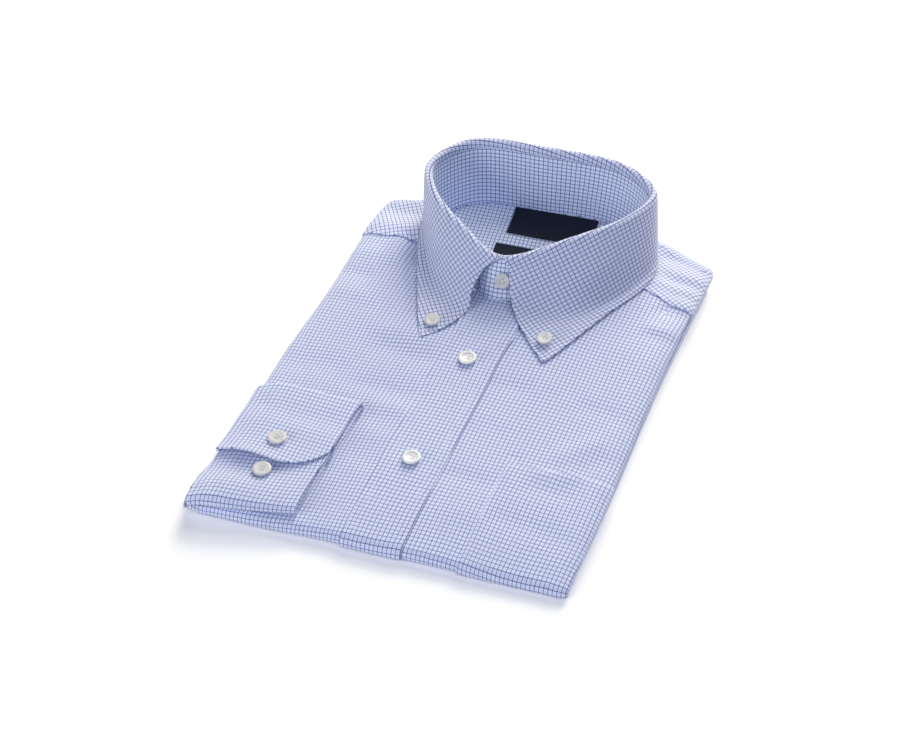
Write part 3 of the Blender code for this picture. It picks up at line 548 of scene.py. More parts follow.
def stitches(name, rows, half_thick=0.0):
    """Rows of lockstitch, joined. Each row is a shape, its u and v along the row, and the face it lies on."""
    bm = bmesh.new()
    for shape, u, v, face in rows:
        u, v = np.broadcast_arrays(u, v)
        point = shape(u, v)[0]
        step_u = shape(np.clip(u + STEP_ASIDE, 0, 1), v)[0] - point
        step_v = shape(u, np.clip(v + STEP_ASIDE, 0, 1))[0] - point
        normal = unit(np.cross(step_u, step_v)) * face
        point = point + normal * (half_thick + STITCH_LIFT)
        run = run_along(point)
        for at in np.arange(STITCH_PITCH / 2, run[-1] - STITCH_PITCH / 2, STITCH_PITCH):
            here, ahead, up = (np.array([np.interp(at + d, run, line[:, k]) for k in range(3)])
                               for d, line in ((0, point), (0.5, point), (0, normal)))
            along = Vector(ahead - here).normalized()
            side = Vector(up).cross(along).normalized()
            turn = Matrix((along, side, along.cross(side))).transposed().to_4x4()
            place = Matrix.Translation(Vector((here + PATTERN_ZERO) * MM)) @ turn
            size = Matrix.Diagonal((STITCH_LONG * MM, STITCH_FINE * MM, STITCH_FINE * MM, 1.0))
            bmesh.ops.create_uvsphere(bm, u_segments=6, v_segments=5, radius=1.0,
                                      matrix=place @ size @ Matrix.Rotation(math.pi / 2, 4, "Y"))
    mesh = mesh_from(name, bm)
    mesh.materials.append(pale_thread)
    mesh.shade_smooth()
    sewn = placed(name, mesh)
    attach(sewn, "root")


pale_thread = sewing_thread("pale_blue_thread", (0.62, 0.67, 0.80))
front_band = cloth_piece("front_band_strip", 30, 150, band_shape, BAND_THICK, cloth, edge=0.3)
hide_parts("front_band")
down_band = np.linspace(0.06, 0.93, 200)
stitches("front_band_stitches", [(band_shape, 0.14, down_band, 1), (band_shape, 0.86, down_band, 1)])


# ---------------------------------------------------------------- chest pocket
# One layer of the same cloth, turned in and edge-stitched to the left front. The fold of the shirt takes it
# round the side and the bottom, so only its upper inner corner lies flat; its mouth is a little slack.

POCKET_EDGE, POCKET_MOUTH, POCKET_SLANT = 53.0, -72.3, 0.098
POCKET_THICK, POCKET_ABOVE = 0.9, 1.25
POCKET_DEEP = 78
POCKET_FLAT_SHARE, POCKET_TURN_SHARE = 0.78, 0.09
POCKET_SLACK, POCKET_SLACK_X = 0.7, 92
POCKET_ROLL_TO = -26


def pocket_mouth(x):
    return POCKET_MOUTH + POCKET_SLANT * (x - POCKET_EDGE)


def pocket_shape(u, v):
    roll = np.radians(np.interp(u, (POCKET_FLAT_SHARE, 1), (ROLL_FROM, POCKET_ROLL_TO)))
    turn, rise = turn_and_rise(v, POCKET_TURN_SHARE)
    out = np.minimum(u / POCKET_FLAT_SHARE, 1)
    x = POCKET_EDGE + out * (flat_end(-72.0, 1) - POCKET_EDGE)
    y = bottom_y(x) + rise * (pocket_mouth(x) - bottom_y(x))
    x = POCKET_EDGE + out * (flat_end(bottom_y(101.0) + rise * POCKET_DEEP, 1) - POCKET_EDGE)
    below = pocket_mouth(x) - y
    slack = POCKET_SLACK * hump(x, POCKET_SLACK_X, 12) * np.exp(-below / 6)
    above = POCKET_ABOVE + slack - pressed_edge(np.minimum(x - POCKET_EDGE, below))
    return on_shirt(x, y, roll, turn, 1, above)


pocket = cloth_piece("chest_pocket", 56, 70, pocket_shape, POCKET_THICK, cloth, edge=0.3)
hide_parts("pocket")
stitches("pocket_stitches", [(pocket_shape, 0.028, np.linspace(0.1, 0.985, 120), 1)])


# ---------------------------------------------------------------- yoke
# A double layer over both shoulders and round the back of the neck. It rolls over the shoulder end of the
# folded shirt, and laps the fronts at a topstitched seam on each shoulder.

END_ROLL = 7.0
YOKE_RIGHT_AT, YOKE_LEFT_AT = 0.2232, 0.802
YOKE_THICK = 1.0
YOKE_FLAT_SHARE = 0.66
YOKE_FOOT_LONG = 250
YOKE_GRAIN = math.radians(30)
SHOULDER_CORNERS = {-1: 16.0, 1: 8.0}
LEFT_RIM_Y = 134.0, 121.0, 107.0

# Soft waves that the fold has pressed into the yoke, in the same columns as the creases of the fronts
YOKE_WAVES = (
    (-104.0, 113.0, -78.0, 120.0, 6.0, -1.3, 1.0),
    (-100.0, 97.0, -72.0, 103.0, 6.0, 1.0, 1.0),
    (-98.0, 128.0, -78.0, 133.0, 4.0, 0.7, 1.0),
    (78.0, 139.0, 108.0, 137.0, 6.0, -1.3, 2.0),
    (84.0, 127.0, 112.0, 126.0, 4.5, 0.7, -2.0),
    (92.0, 117.0, 114.0, 114.0, 4.5, -0.9, 1.5),
    (98.0, 103.0, 117.0, 104.0, 4.0, -0.8, 1.0),
    (80.0, 110.0, 100.0, 108.0, 4.0, 0.6, 1.5),
    (-40.0, 148.0, 30.0, 156.0, 4.0, -0.5, 1.0),
)
CREASES = CREASES + YOKE_WAVES


def shoulder_corner(sign, angles):
    """Stations round one corner of the shoulder end, each with the direction that the cloth rolls off in."""
    round_by = SHOULDER_CORNERS[sign]
    corner_x = side_edge(130.0, sign) - sign * round_by
    corner_y = float(top_y(corner_x)) - round_by
    for angle in np.radians(angles):
        nx, ny = sign * math.cos(angle), math.sin(angle)
        yield corner_x + round_by * nx, corner_y + round_by * ny, nx, ny


def rim_stations():
    """The shoulder end in plan, from seam to seam: x, y and the direction that the cloth rolls off in."""
    right, left = SEAM_OUT[-1] - 0.8, SEAM_OUT[1] - 0.8
    path = [(side_edge(y, -1), y, -1.0, 0.0) for y in (right, 103.0)]
    path += shoulder_corner(-1, (30, 60))
    path += [(x, float(top_y(x)), 0.0, 1.0) for x in np.linspace(-86, 96, 14)]
    path += shoulder_corner(1, (60, 30))
    path += [(side_edge(y, 1), y, 1.0, 0.0) for y in (*LEFT_RIM_Y, left)]
    return np.array(path, float)


def yoke_seam_height(from_seam, along_seam):
    """The turned seam edge over the front, with the small puckers of its topstitching."""
    pucker = 0.5 + 0.5 * np.sin(along_seam * 0.9 + 1.5 * np.sin(along_seam * 0.23))
    return 0.01 + 0.14 * pucker * hump(from_seam, 1.8, 1.3) - 0.12 * np.exp(-from_seam / 1.2)


def yoke_shape(u, v):
    """u runs along the shoulder end from the right seam to the left; v from the neck out and over the end."""
    u = u - 0.7 * np.sin(2 * math.pi * u) / (2 * math.pi)
    x, y, nx, ny = through(RIM, u).T
    nx, ny = nx / np.hypot(nx, ny), ny / np.hypot(nx, ny)
    from_x, from_y = neck_at(YOKE_RIGHT_AT + (YOKE_LEFT_AT - YOKE_RIGHT_AT) * u).T
    roll_wide = SIDE_ROLL + (END_ROLL - SIDE_ROLL) * ny ** 2
    roll_wide = np.minimum(roll_wide, np.maximum(3.0, np.hypot(x - from_x, y - from_y) * 0.5))
    end_x, end_y = x - nx * roll_wide, y - ny * roll_wide
    out = np.minimum(v / YOKE_FLAT_SHARE, 1)
    flat_x, flat_y = from_x + out * (end_x - from_x), from_y + out * (end_y - from_y)
    roll = np.radians(np.interp(v, (YOKE_FLAT_SHARE, 1), (ROLL_FROM, ROLL_TO)))
    along_seam = out * np.hypot(end_x - from_x, end_y - from_y)
    seam = yoke_seam_height(np.minimum(u, 1 - u) * YOKE_FOOT_LONG, along_seam)

    half = body_height(end_x, end_y) / 2
    centre = ROLL_MIDDLE * half
    wide, high = np.where(roll >= 0, roll_wide, SIDE_TUCK), np.where(roll >= 0, half - centre, centre)
    across, up = np.cos(roll) / wide, np.sin(roll) / high
    size = np.hypot(across, up)
    beyond = wide * (np.cos(roll) - 1) + roll_wide + across / size * seam
    rolled_z = half + centre + high * np.sin(roll) + up / size * seam
    rolled = v > YOKE_FLAT_SHARE
    creased = crease_height(flat_x, flat_y) * np.clip(np.sin(roll), 0, 1)
    z = np.where(rolled, rolled_z, body_height(flat_x, flat_y) + seam) + creased
    point = np.stack([np.where(rolled, end_x + nx * beyond, flat_x),
                      np.where(rolled, end_y + ny * beyond, flat_y), z], axis=-1)

    used = np.where(rolled, roll_length(roll) * np.minimum(roll_wide / SIDE_ROLL + 0.2, 1.0), 0.0)
    thread_x, thread_y = flat_x + nx * used, flat_y + ny * used - 128.0
    grain = YOKE_GRAIN * (1 - 2 * smooth((u - 0.3) / 0.4))
    cos, sin = np.cos(grain), np.sin(grain)
    thread = np.stack([thread_x * cos + thread_y * sin, thread_y * cos - thread_x * sin], axis=-1)
    return point, thread + wander(flat_x, flat_y)


RIM = rim_stations()
yoke = cloth_piece("yoke_panel", 230, 44, yoke_shape, YOKE_THICK, cloth, turned=True, edge=0.2)
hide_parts("yoke")
out_along = np.linspace(0.08, 0.9, 80)
stitches("yoke_seam_stitches", [(yoke_shape, 0.02, out_along, -1), (yoke_shape, 0.98, out_along, -1)])


# ---------------------------------------------------------------- yoke lining
# The inner layer of the yoke is the floor seen inside the collar. It hangs a few millimetres into the neck
# as a shallow bowl, and rises to the foot of the stand all round.

FLOOR_Z, FLOOR_RISE = 14.0, 14.0
LINING_THICK, LINING_INSET = 0.8, 0.9
NECK_RING = neck_at(np.arange(120) / 120)
NECK_MIDDLE = NECK_RING.mean(axis=0)


def inside_neck(x, y):
    """Distance into the neck from its cut edge."""
    p = np.stack([x, y], axis=-1)[..., None, :]
    ring, along = NECK_RING, np.roll(NECK_RING, -1, axis=0) - NECK_RING
    t = np.clip(((p - ring) * along).sum(-1) / (along ** 2).sum(-1), 0, 1)
    return np.linalg.norm(p - ring - along * t[..., None], axis=-1).min(axis=-1)


def floor_height(x, y):
    deep = smooth(inside_neck(x, y) / FLOOR_RISE)
    wave = 0.35 * np.sin(x * 0.11 + 0.6) * np.cos(y * 0.13) * deep
    return body_height(x, y) * (1 - deep) + FLOOR_Z * deep + wave


def lining_shape(u, v):
    """u runs round the neck and v from its cut edge in to the middle; the threads lie a little askew."""
    edge = foot_at(u) - outward(foot_at, u) * LINING_INSET
    part = (1 - v[:, None]) ** 0.9
    x, y = (NECK_MIDDLE + (edge - NECK_MIDDLE) * part).T
    z = np.where(v > 0, floor_height(x, y), body_height(x, y) - 0.3)
    return np.stack([x, y, z], axis=-1), np.stack([x * 0.993 + y * 0.12, y * 0.993 - x * 0.12], axis=-1)


# A lighter copy of the check for the floor inside the collar: painted light, brighter than the cloth's own
# colour where the collar walls shade it.
painted_light_inner_cloth = check_cloth("painted_light_inner_twill", (0.86, 0.90, 1.0, 1.0), (0.070, 0.125, 0.42, 1.0))
lining = cloth_piece("yoke_lining_floor", 144, 40, lining_shape, LINING_THICK, painted_light_inner_cloth)
seam = bmesh.new()
seam.from_mesh(lining.data)
bmesh.ops.remove_doubles(seam, verts=seam.verts, dist=0.00001)
bmesh.ops.recalc_face_normals(seam, faces=seam.faces)
seam.normal_update()
if sum(f.normal.z for f in seam.faces) < 0:
    bmesh.ops.reverse_faces(seam, faces=seam.faces)
seam.to_mesh(lining.data)
seam.free()
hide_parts("yoke_lining")


# ---------------------------------------------------------------- hidden layers
# The back, the left sleeve, the turned side folds and the tail, pressed together inside the fold. They show
# only as stacked folded edges at the shoulder end and the sides, so they are one stack with rounded layers.

STACK_LAYERS = 5
STACK_INSET, STACK_END = 5.2, 4.6
STACK_STOPS = 0.0, 0.40, 0.54, 0.94, 1.0


def legs(v, stops):
    """Which leg of the way round each v is on, and how far along that leg."""
    stops = np.array(stops)
    k = np.clip(np.searchsorted(stops, v, side="right") - 1, 0, len(stops) - 2)
    return k, (v - stops[k]) / (stops[k + 1] - stops[k])


def stack_shape(u, v):
    """u runs across the stack; v runs once round it: over the top, down its end, underneath and up again."""
    x_side = u * 2 - 1
    right, left = side_edge(0.0, -1) + STACK_INSET, side_edge(0.0, 1) - STACK_INSET
    x = (right + left) / 2 + x_side * (left - right) / 2
    low_end = bottom_y(x) + STACK_INSET + 1.5
    high_end = top_y(x) - STACK_END - 40 * np.maximum(np.abs(x_side) - 0.9, 0)
    k, t = legs(v, STACK_STOPS)
    deep = high_end - low_end
    y = np.choose(k, (low_end + deep * t, high_end, high_end - deep * t, low_end))
    body = body_height(x, y)
    side = np.sqrt(np.clip(1 - np.maximum((np.abs(x_side) - 0.92) / 0.08, 0) ** 2, 0, 1))
    reach = (body / 2 - 1.3) * (0.35 + 0.65 * side)
    top, low = body / 2 + reach, body / 2 - reach
    neck = smooth(1.5 - np.linalg.norm((np.stack([x, y], -1) - NECK_MIDDLE) / (78, 62), axis=-1))
    top = top - np.clip(top - (FLOOR_Z - 1.6), 0, None) * smooth(neck * 3)
    down = np.choose(k, (0 * t, t, 1 + 0 * t, 1 - t))
    layers = 0.9 * np.abs(np.sin(t * math.pi * STACK_LAYERS)) * (k == 1)
    ripple = layers - 2.0 * np.sin(t * math.pi) * (k == 3)
    return np.stack([x, y + ripple, top + (low - top) * down], axis=-1), np.stack([x, y + 20 * down], axis=-1)


stack = cloth_piece("folded_layers_stack", 72, 150, stack_shape, CLOTH_THICK, cloth)
stack.modifiers.remove(stack.modifiers["thickness"])
shut = bmesh.new()
shut.from_mesh(stack.data)
bmesh.ops.remove_doubles(shut, verts=shut.verts, dist=0.000001)
bmesh.ops.holes_fill(shut, edges=[e for e in shut.edges if e.is_boundary], sides=0)
bmesh.ops.recalc_face_normals(shut, faces=shut.faces)
shut.to_mesh(stack.data)
shut.free()
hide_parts("folded_layers")


# ---------------------------------------------------------------- collar stand
# Two layers with a stiff interlining, standing up from the neck seam. Its ends lap at the centre front,
# the wearer's left one outside, and each end is cut round; between the leaf's ends it stands up to the fold.

STAND_THICK = 1.3
FOLD_RADIUS = 1.9
STAND_TUCK = 3.7
STAND_OVERLAP, LAP_ASIDE = 0.034, 0.85
ON_BAND = 0.9


def step_aside(s):
    """Where the stand's two ends lap, the right one keeps inside the left."""
    right, left = 1 - smooth((s - 0.02) / 0.10), smooth((s - 0.88) / 0.10)
    return np.where(s < 0.5, -LAP_ASIDE * right, LAP_ASIDE * left)


def stand_line(s):
    """Foot and top of the stand's middle layer at s."""
    out = outward(fold_at, s)
    fold = fold_at(s)
    top = np.stack([fold[..., 0] - out[..., 0] * FOLD_RADIUS, fold[..., 1] - out[..., 1] * FOLD_RADIUS,
                    fold[..., 2] - FOLD_RADIUS - STAND_THICK / 2], axis=-1)
    x, y = foot_at(s).T
    on_band = ON_BAND * smooth((24 - np.abs(x)) / 4) * (y < 90)
    foot = np.stack([x, y, body_height(x, y) + 0.2 + on_band], axis=-1)
    return foot, top


def level(v):
    """A direction in plan, as a level one in space."""
    return np.concatenate([v, np.zeros(v.shape[:-1] + (1,))], axis=-1)


def stand_shape(u, v):
    s = -STAND_OVERLAP + u * (1 + 2 * STAND_OVERLAP)
    foot, top = stand_line(s)
    out = level(outward(foot_at, s))
    reach = np.linalg.norm(top - foot, axis=-1)
    beyond = np.maximum(np.maximum(-s, s - 1.0), 0.0) / STAND_OVERLAP
    centre = np.minimum(np.abs(s), np.abs(s - 1.0))
    tuck = STAND_TUCK * smooth((centre - 0.006) / 0.008)
    tuck = np.where(beyond > 0, -0.4, tuck - 0.4)
    end = (reach - tuck) / reach * (1 - 0.42 * (1 - np.sqrt(np.clip(1 - beyond ** 2, 0, 1))))
    point = foot + (top - foot) * (end * v)[:, None] + out * step_aside(s)[:, None]
    wave = 0.25 * np.sin(s * 61 + 1.0) * np.sin(v * math.pi)
    point = point + out * wave[:, None]
    round_at = np.interp(s, NECK_S, NECK_RUN)
    return point, np.stack([reach * end * v * 0.92, round_at * 1.06], axis=-1)


NECK_S = np.linspace(-0.1, 1.1, 400)
NECK_RUN = run_along(foot_at(NECK_S))
# A copy of the check for the stand: its lighter ground is painted light on the inside of the collar, and its
# darker lines are painted shade.
stand_cloth_painted_light_and_shade = check_cloth("stand_twill_painted_light_and_shade", (0.72, 0.78, 0.96, 1.0), (0.020, 0.060, 0.28, 1.0))
stand = cloth_piece("collar_stand_band", 240, 22, stand_shape, STAND_THICK, stand_cloth_painted_light_and_shade, offset=0.0,
                    turned=True, edge=0.35)
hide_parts("collar_stand")


# ---------------------------------------------------------------- collar leaf
# The turned-down part, two layers over a fused interlining. It rolls softly over the top of the stand, flares
# away from it at the sides, and its two long points button down onto the fronts.

LEAF_THICK = 1.3
LEAF_STITCH_IN = 6.5
LEAF_END = 0.0055
LEAF_TUCK = 3.2
RIGHT_TIP, LEFT_TIP = (-34.5, 6.5, 18.5), (44.5, 12.5, 18.5)
FREE_EDGE = np.array([RIGHT_TIP, *COLLAR[1:, 5:8], LEFT_TIP])
LEAF_COLUMNS, LEAF_ROWS = 264, 62
LEAF_FOLD_ROW = 6
TURNED_END_REACH = 0.030

# How much shorter the leaf's outermost columns are cut, which rounds each tip
TIP_CUTS = {0: (2.6, 1.1, 0.4), -1: (2.2, 0.9, 0.2)}

# Where the leaf stops falling and bends out to lie on the shirt, all round
KNEES = np.array((
    (-15, 37, 22), (-40, 57, 23), (-61, 86, 25), (-73, 121, 34), (-56, 158, 32), (-5, 167, 32),
    (46, 169, 32), (72, 146, 31), (76, 112, 24), (51, 67, 22), (9, 53, 22),
), dtype=float)
# Each front edge drops steeply from the fold, breaks over the stand, and runs out to its tip
RIGHT_FRONT_EDGE = np.array(((-12, 60, 39), (-16, 49, 29), (-15, 39, 21), (-23, 22, 19)), dtype=float)
LEFT_FRONT_EDGE = np.array(((3, 63, 38), (9, 52, 26), (18, 40, 21), (32, 25, 19)), dtype=float)

# Soft swells of the leaf: centre s, centre down from the fold (0 to 1), reach in s, reach down, height out
LEAF_SWELLS = (
    (0.050, 0.22, 0.030, 0.12, -0.5),
    (0.120, 0.36, 0.035, 0.18, 0.6),
    (0.180, 0.60, 0.030, 0.20, -0.4),
    (0.060, 0.80, 0.025, 0.10, 0.4),
    (0.960, 0.78, 0.025, 0.12, 0.5),
    (0.872, 0.48, 0.026, 0.11, 0.9),
    (0.815, 0.32, 0.030, 0.16, -0.6),
    (0.930, 0.30, 0.035, 0.12, -0.4),
    (0.400, 0.55, 0.050, 0.25, -0.7),
    (0.560, 0.60, 0.060, 0.25, 0.6),
)


def evenly(line, count, cut=0.0):
    """The same line as count + 1 points in even steps, cut short at its far end."""
    run = run_along(line)
    at = np.linspace(0, run[-1] - cut, count + 1)
    return np.stack([np.interp(at, run, line[:, k]) for k in range(3)], axis=-1)


def leaf_fall(start, high, knee, low, edge):
    """The leaf's fall from the fold to its edge, as one smooth curve that passes through the knee."""
    middle = (32 * knee - start - 5 * high - 5 * low - edge) / 20
    for t in np.linspace(0, 1, 60):
        w = 1 - t
        yield (w ** 5 * start + 5 * w ** 4 * t * high + 10 * (w ** 3 * t ** 2 + w ** 2 * t ** 3) * middle
               + 5 * w * t ** 4 * low + t ** 5 * edge)


def leaf_lines(s, count):
    """The leaf's middle layer: for each s, count + 1 points from its tucked end over the fold to its edge."""
    foot, top = stand_line(s)
    out, up = level(outward(fold_at, s)), np.array((0.0, 0.0, 1.0))
    centre = top + out * FOLD_RADIUS
    lines = [top + unit(foot - top) * LEAF_TUCK * part for part in (1.0, 0.5)]
    for angle in np.linspace(math.pi, 0.35, 12):
        lines.append(centre + out * FOLD_RADIUS * math.cos(angle) + up * FOLD_RADIUS * math.sin(angle))
    turned_over = len(lines)
    start = centre + out * FOLD_RADIUS
    edge = through(FREE_EDGE, (s - LEAF_END) / (1 - 2 * LEAF_END))
    knee = through(KNEES, s)
    bulge = 0.6 + 1.6 * hump(np.minimum(s, 1 - s), 0.1, 0.08)
    high = (start + knee) / 2 + (out + up) * 0.7 * bulge[:, None]
    low = (knee + edge) / 2 + up * 0.3
    lines += leaf_fall(start, high, knee, low, edge)
    lines = np.stack(lines, axis=1)
    even = np.array([evenly(line, count) for line in lines])
    for end, front_edge in ((0, RIGHT_FRONT_EDGE), (-1, LEFT_FRONT_EDGE)):
        run = np.array([lines[end, turned_over - 1], *front_edge, lines[end, -1]])
        curve = through(run, np.linspace(0, 1, 80))
        moved = evenly(np.concatenate([lines[end, :turned_over - 1], curve]), count) - even[end]
        fade = hump(s, s[end], TURNED_END_REACH)
        even = even + moved * fade[:, None, None]
        for column, cut in enumerate(TIP_CUTS[end]):
            column = column if end == 0 else -1 - column
            even[column] = evenly(even[column], count, cut)
    return even


FLATTEN_PASSES = 400
COARSE_COLUMNS, COARSE_ROWS = 4, 2
LEAF_GRAIN = math.radians(12), math.radians(-9)


def flattened(grid):
    """The cut shape of a curved piece: its grid laid flat with as little stretch as it allows. Each pass
    moves the points toward the lengths that they have in space."""
    wide, high = grid.shape[:2]
    number = np.arange(wide * high).reshape(wide, high)
    first, second = (np.concatenate([ends.ravel() for ends in side]) for side in (
        (number[1:], number[:, 1:], number[1:, 1:], number[1:, :-1]),
        (number[:-1], number[:, :-1], number[:-1, :-1], number[:-1, 1:])))
    space = grid.reshape(-1, 3)
    want = np.linalg.norm(space[first] - space[second], axis=1)
    down = np.stack([run_along(line) for line in grid])
    flat = np.stack([np.repeat(run_along(grid[:, 0])[:, None], high, axis=1), -down], axis=-1).reshape(-1, 2)
    pull = np.zeros((wide * high, wide * high))
    for row, column in ((first, second), (second, first)):
        np.add.at(pull, (row, row), 1)
        np.add.at(pull, (row, column), -1)
    pull += 1.0 / len(pull)
    solve = np.linalg.inv(pull)
    for _ in range(FLATTEN_PASSES):
        gap = flat[first] - flat[second]
        gap *= (want / np.maximum(np.linalg.norm(gap, axis=1), 1e-9))[:, None]
        force = np.zeros_like(flat)
        np.add.at(force, first, gap)
        np.add.at(force, second, -gap)
        flat = solve @ force
    return flat.reshape(wide, high, 2)


def finer(coarse, columns, rows):
    """The flat shape at every column and row of the leaf, from the coarse one."""
    fine = np.empty((len(columns), len(rows), 2))
    coarse_columns = columns[::COARSE_COLUMNS]
    coarse_rows = np.linspace(LEAF_FOLD_ROW, rows[-1], coarse.shape[1])
    for axis in (0, 1):
        down = np.array([np.interp(rows, coarse_rows, line) for line in coarse[..., axis]])
        fine[..., axis] = np.stack([np.interp(columns, coarse_columns, line) for line in down.T], axis=1)
    return fine


def leaf_threads(grid, s):
    """Each point's place in the leaf's cloth."""
    coarse = flattened(grid[::COARSE_COLUMNS, LEAF_FOLD_ROW::COARSE_ROWS])
    flat = finer(coarse, np.arange(LEAF_COLUMNS + 1), np.arange(LEAF_ROWS + 1))
    fold_run = np.diff(flat[:, LEAF_FOLD_ROW], axis=0)
    fold_turn = np.arctan2(fold_run[:, 1], fold_run[:, 0])
    fold_turn = np.append(fold_turn, fold_turn[-1])
    first_turn = fold_turn[s < 0.14].mean() + LEAF_GRAIN[0]
    last_turn = fold_turn[s > 0.86].mean() + LEAF_GRAIN[1]
    grain = first_turn + (last_turn - first_turn) * smooth((s - 0.16) / 0.68)
    cos, sin = np.cos(grain)[:, None], np.sin(grain)[:, None]
    across, up = (flat - flat[:, LEAF_FOLD_ROW:LEAF_FOLD_ROW + 1]).transpose(2, 0, 1)
    run_x, run_y = np.vstack([(0, 0), fold_run]).T[..., None]
    fold_x = np.cumsum(run_x * cos + run_y * sin, axis=0)
    fold_y = np.cumsum(run_y * cos - run_x * sin, axis=0)
    threads = np.stack([fold_x + across * cos + up * sin, fold_y + up * cos - across * sin], axis=-1)
    step_down = np.linalg.norm(grid[:, 1] - grid[:, 0], axis=1)
    for row in range(LEAF_FOLD_ROW):
        threads[:, row, 0] = fold_x[:, 0]
        threads[:, row, 1] = fold_y[:, 0] + (LEAF_FOLD_ROW - row) * step_down
    return threads


def swelled(grid, s):
    """The leaf with its soft swells."""
    normal = unit(np.cross(np.gradient(grid, axis=0), np.gradient(grid, axis=1)))
    down = np.linspace(0, 1, LEAF_ROWS + 1)[None, :]
    for s0, down0, reach, reach_down, high in LEAF_SWELLS:
        swell = np.exp(-((s[:, None] - s0) / reach) ** 2 - ((down - down0) / reach_down) ** 2)
        grid = grid + normal * (high * swell)[..., None]
    return grid


leaf_s = np.linspace(LEAF_END, 1 - LEAF_END, LEAF_COLUMNS + 1)
smooth_leaf = leaf_lines(leaf_s, LEAF_ROWS)
leaf_flat = leaf_threads(smooth_leaf, leaf_s)
leaf_grid = swelled(smooth_leaf, leaf_s)


def leaf_shape(u, v):
    """u runs round the neck from the right tip to the left; v from the tucked end over the fold and down."""
    i, j = np.round(u * LEAF_COLUMNS).astype(int), np.round(v * LEAF_ROWS).astype(int)
    flat = leaf_flat[i, j] + (wander(leaf_flat[i, j, 0], leaf_flat[i, j, 1]) * 0.5)
    return leaf_grid[i, j], np.stack([flat[:, 1], flat[:, 0]], axis=-1)


def leaf_at(u, v):
    """The same surface between the points of its grid."""
    i, j = np.clip(u * LEAF_COLUMNS, 0, LEAF_COLUMNS - 1e-6), np.clip(v * LEAF_ROWS, 0, LEAF_ROWS - 1e-6)
    i0, j0 = i.astype(int), j.astype(int)
    i, j = (i - i0)[:, None], (j - j0)[:, None]
    point = ((leaf_grid[i0, j0] * (1 - i) + leaf_grid[i0 + 1, j0] * i) * (1 - j)
             + (leaf_grid[i0, j0 + 1] * (1 - i) + leaf_grid[i0 + 1, j0 + 1] * i) * j)
    return point, point[:, :2]


# A copy of the check for the collar leaf with darker lines: painted shade for the leaf's steep faces.
shaded_collar_cloth = check_cloth("painted_shade_collar_twill", GROUND_COLOUR, (0.016, 0.048, 0.22, 1.0))
leaf = cloth_piece("collar_leaf_fall", LEAF_COLUMNS, LEAF_ROWS, leaf_shape, LEAF_THICK, shaded_collar_cloth,
                   offset=0.0, edge=0.4)
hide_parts("collar_leaf")
row_long = np.linalg.norm(np.diff(leaf_grid, axis=1), axis=2).sum(axis=1)
edge_u = np.linspace(0.022, 0.978, 500)
edge_v = 1 - LEAF_STITCH_IN / np.interp(edge_u, np.linspace(0, 1, LEAF_COLUMNS + 1), row_long)
front_v = np.linspace(0.2, 0.9, 90)
stitches("collar_leaf_stitches", [(leaf_at, edge_u, edge_v, 1), (leaf_at, 0.0155, front_v, 1),
                                  (leaf_at, 0.9845, front_v, 1)], LEAF_THICK / 2)


# ---------------------------------------------------------------- right cuff
# A barrel cuff of two fused layers, folded flat on the right front: the overlap with its large round corner,
# the layer below, and the underlap that comes back up from the fuller bottom fold.

CUFF_TOP, CUFF_WRIST_LOW, CUFF_SLEEVE_LOW = -59.5, -151.0, -163.5
CUFF_THICK, CUFF_GAP = 1.3, 0.3
CUFF_LAYER = CUFF_THICK + CUFF_GAP
CUFF_REACH = 1.56
OVERLAP_END, OVERLAP_CORNER, OVERLAP_LIFT = -124.2, 29.0, 3.9
UNDERLAP_TOP = -98.0
WRIST_X, WRIST_SLANT = -45.2, 4.4 / 96
WRIST_FOLD, SLEEVE_FOLD_MORE = 2.3, 2.1
TOP_FOLD = 0.85
TOP_FOLD_WIDE = TOP_FOLD + CUFF_LAYER / 2
LOW_FOLD_CLOTH = 3.6

# Once round the cuff: up the overlap, round the top fold, down the hidden layer, round the low fold, and
# up the underlap
CUFF_STOPS = 0.0, 0.24, 0.28, 0.64, 0.76, 1.0


def wrist_x(y):
    return WRIST_X - WRIST_SLANT * (CUFF_TOP - y)


def cuff_lies(y_over, y, x, around, overlap, share, k):
    """How the overlap lifts at its free end and sags in the middle, and how the underlap dips."""
    lifted = (0.5 + OVERLAP_LIFT * smooth(around / 0.9)) * np.exp(-np.maximum(y_over - overlap, 0) / 9)
    sag = -(0.7 + 0.2 * np.sin(share * 5.1)) * hump(y, -81, 8) + 0.5 * hump(y, -95, 7)
    sag = sag - 1.0 * np.exp(-((around - 1.1) / 0.12) ** 2 - ((y + 80) / 5) ** 2)
    dip = 0.4 * np.sin(x * 0.09 + 0.5) * smooth((y + 150) / 20)
    return np.where(k == 4, dip, lifted + sag)


def keep_in(point):
    """Rounds off what would stand out past the side of the shirt."""
    limit = side_edge(point[:, 1], -1) + 3.2 * smooth((-140 - point[:, 1]) / 18)
    beyond = np.maximum(limit - point[:, 0], 0.0)
    bulge = 1.4 - 1.0 * smooth((-143 - point[:, 1]) / 10)
    point[:, 0] += beyond - bulge * np.tanh(beyond / bulge)


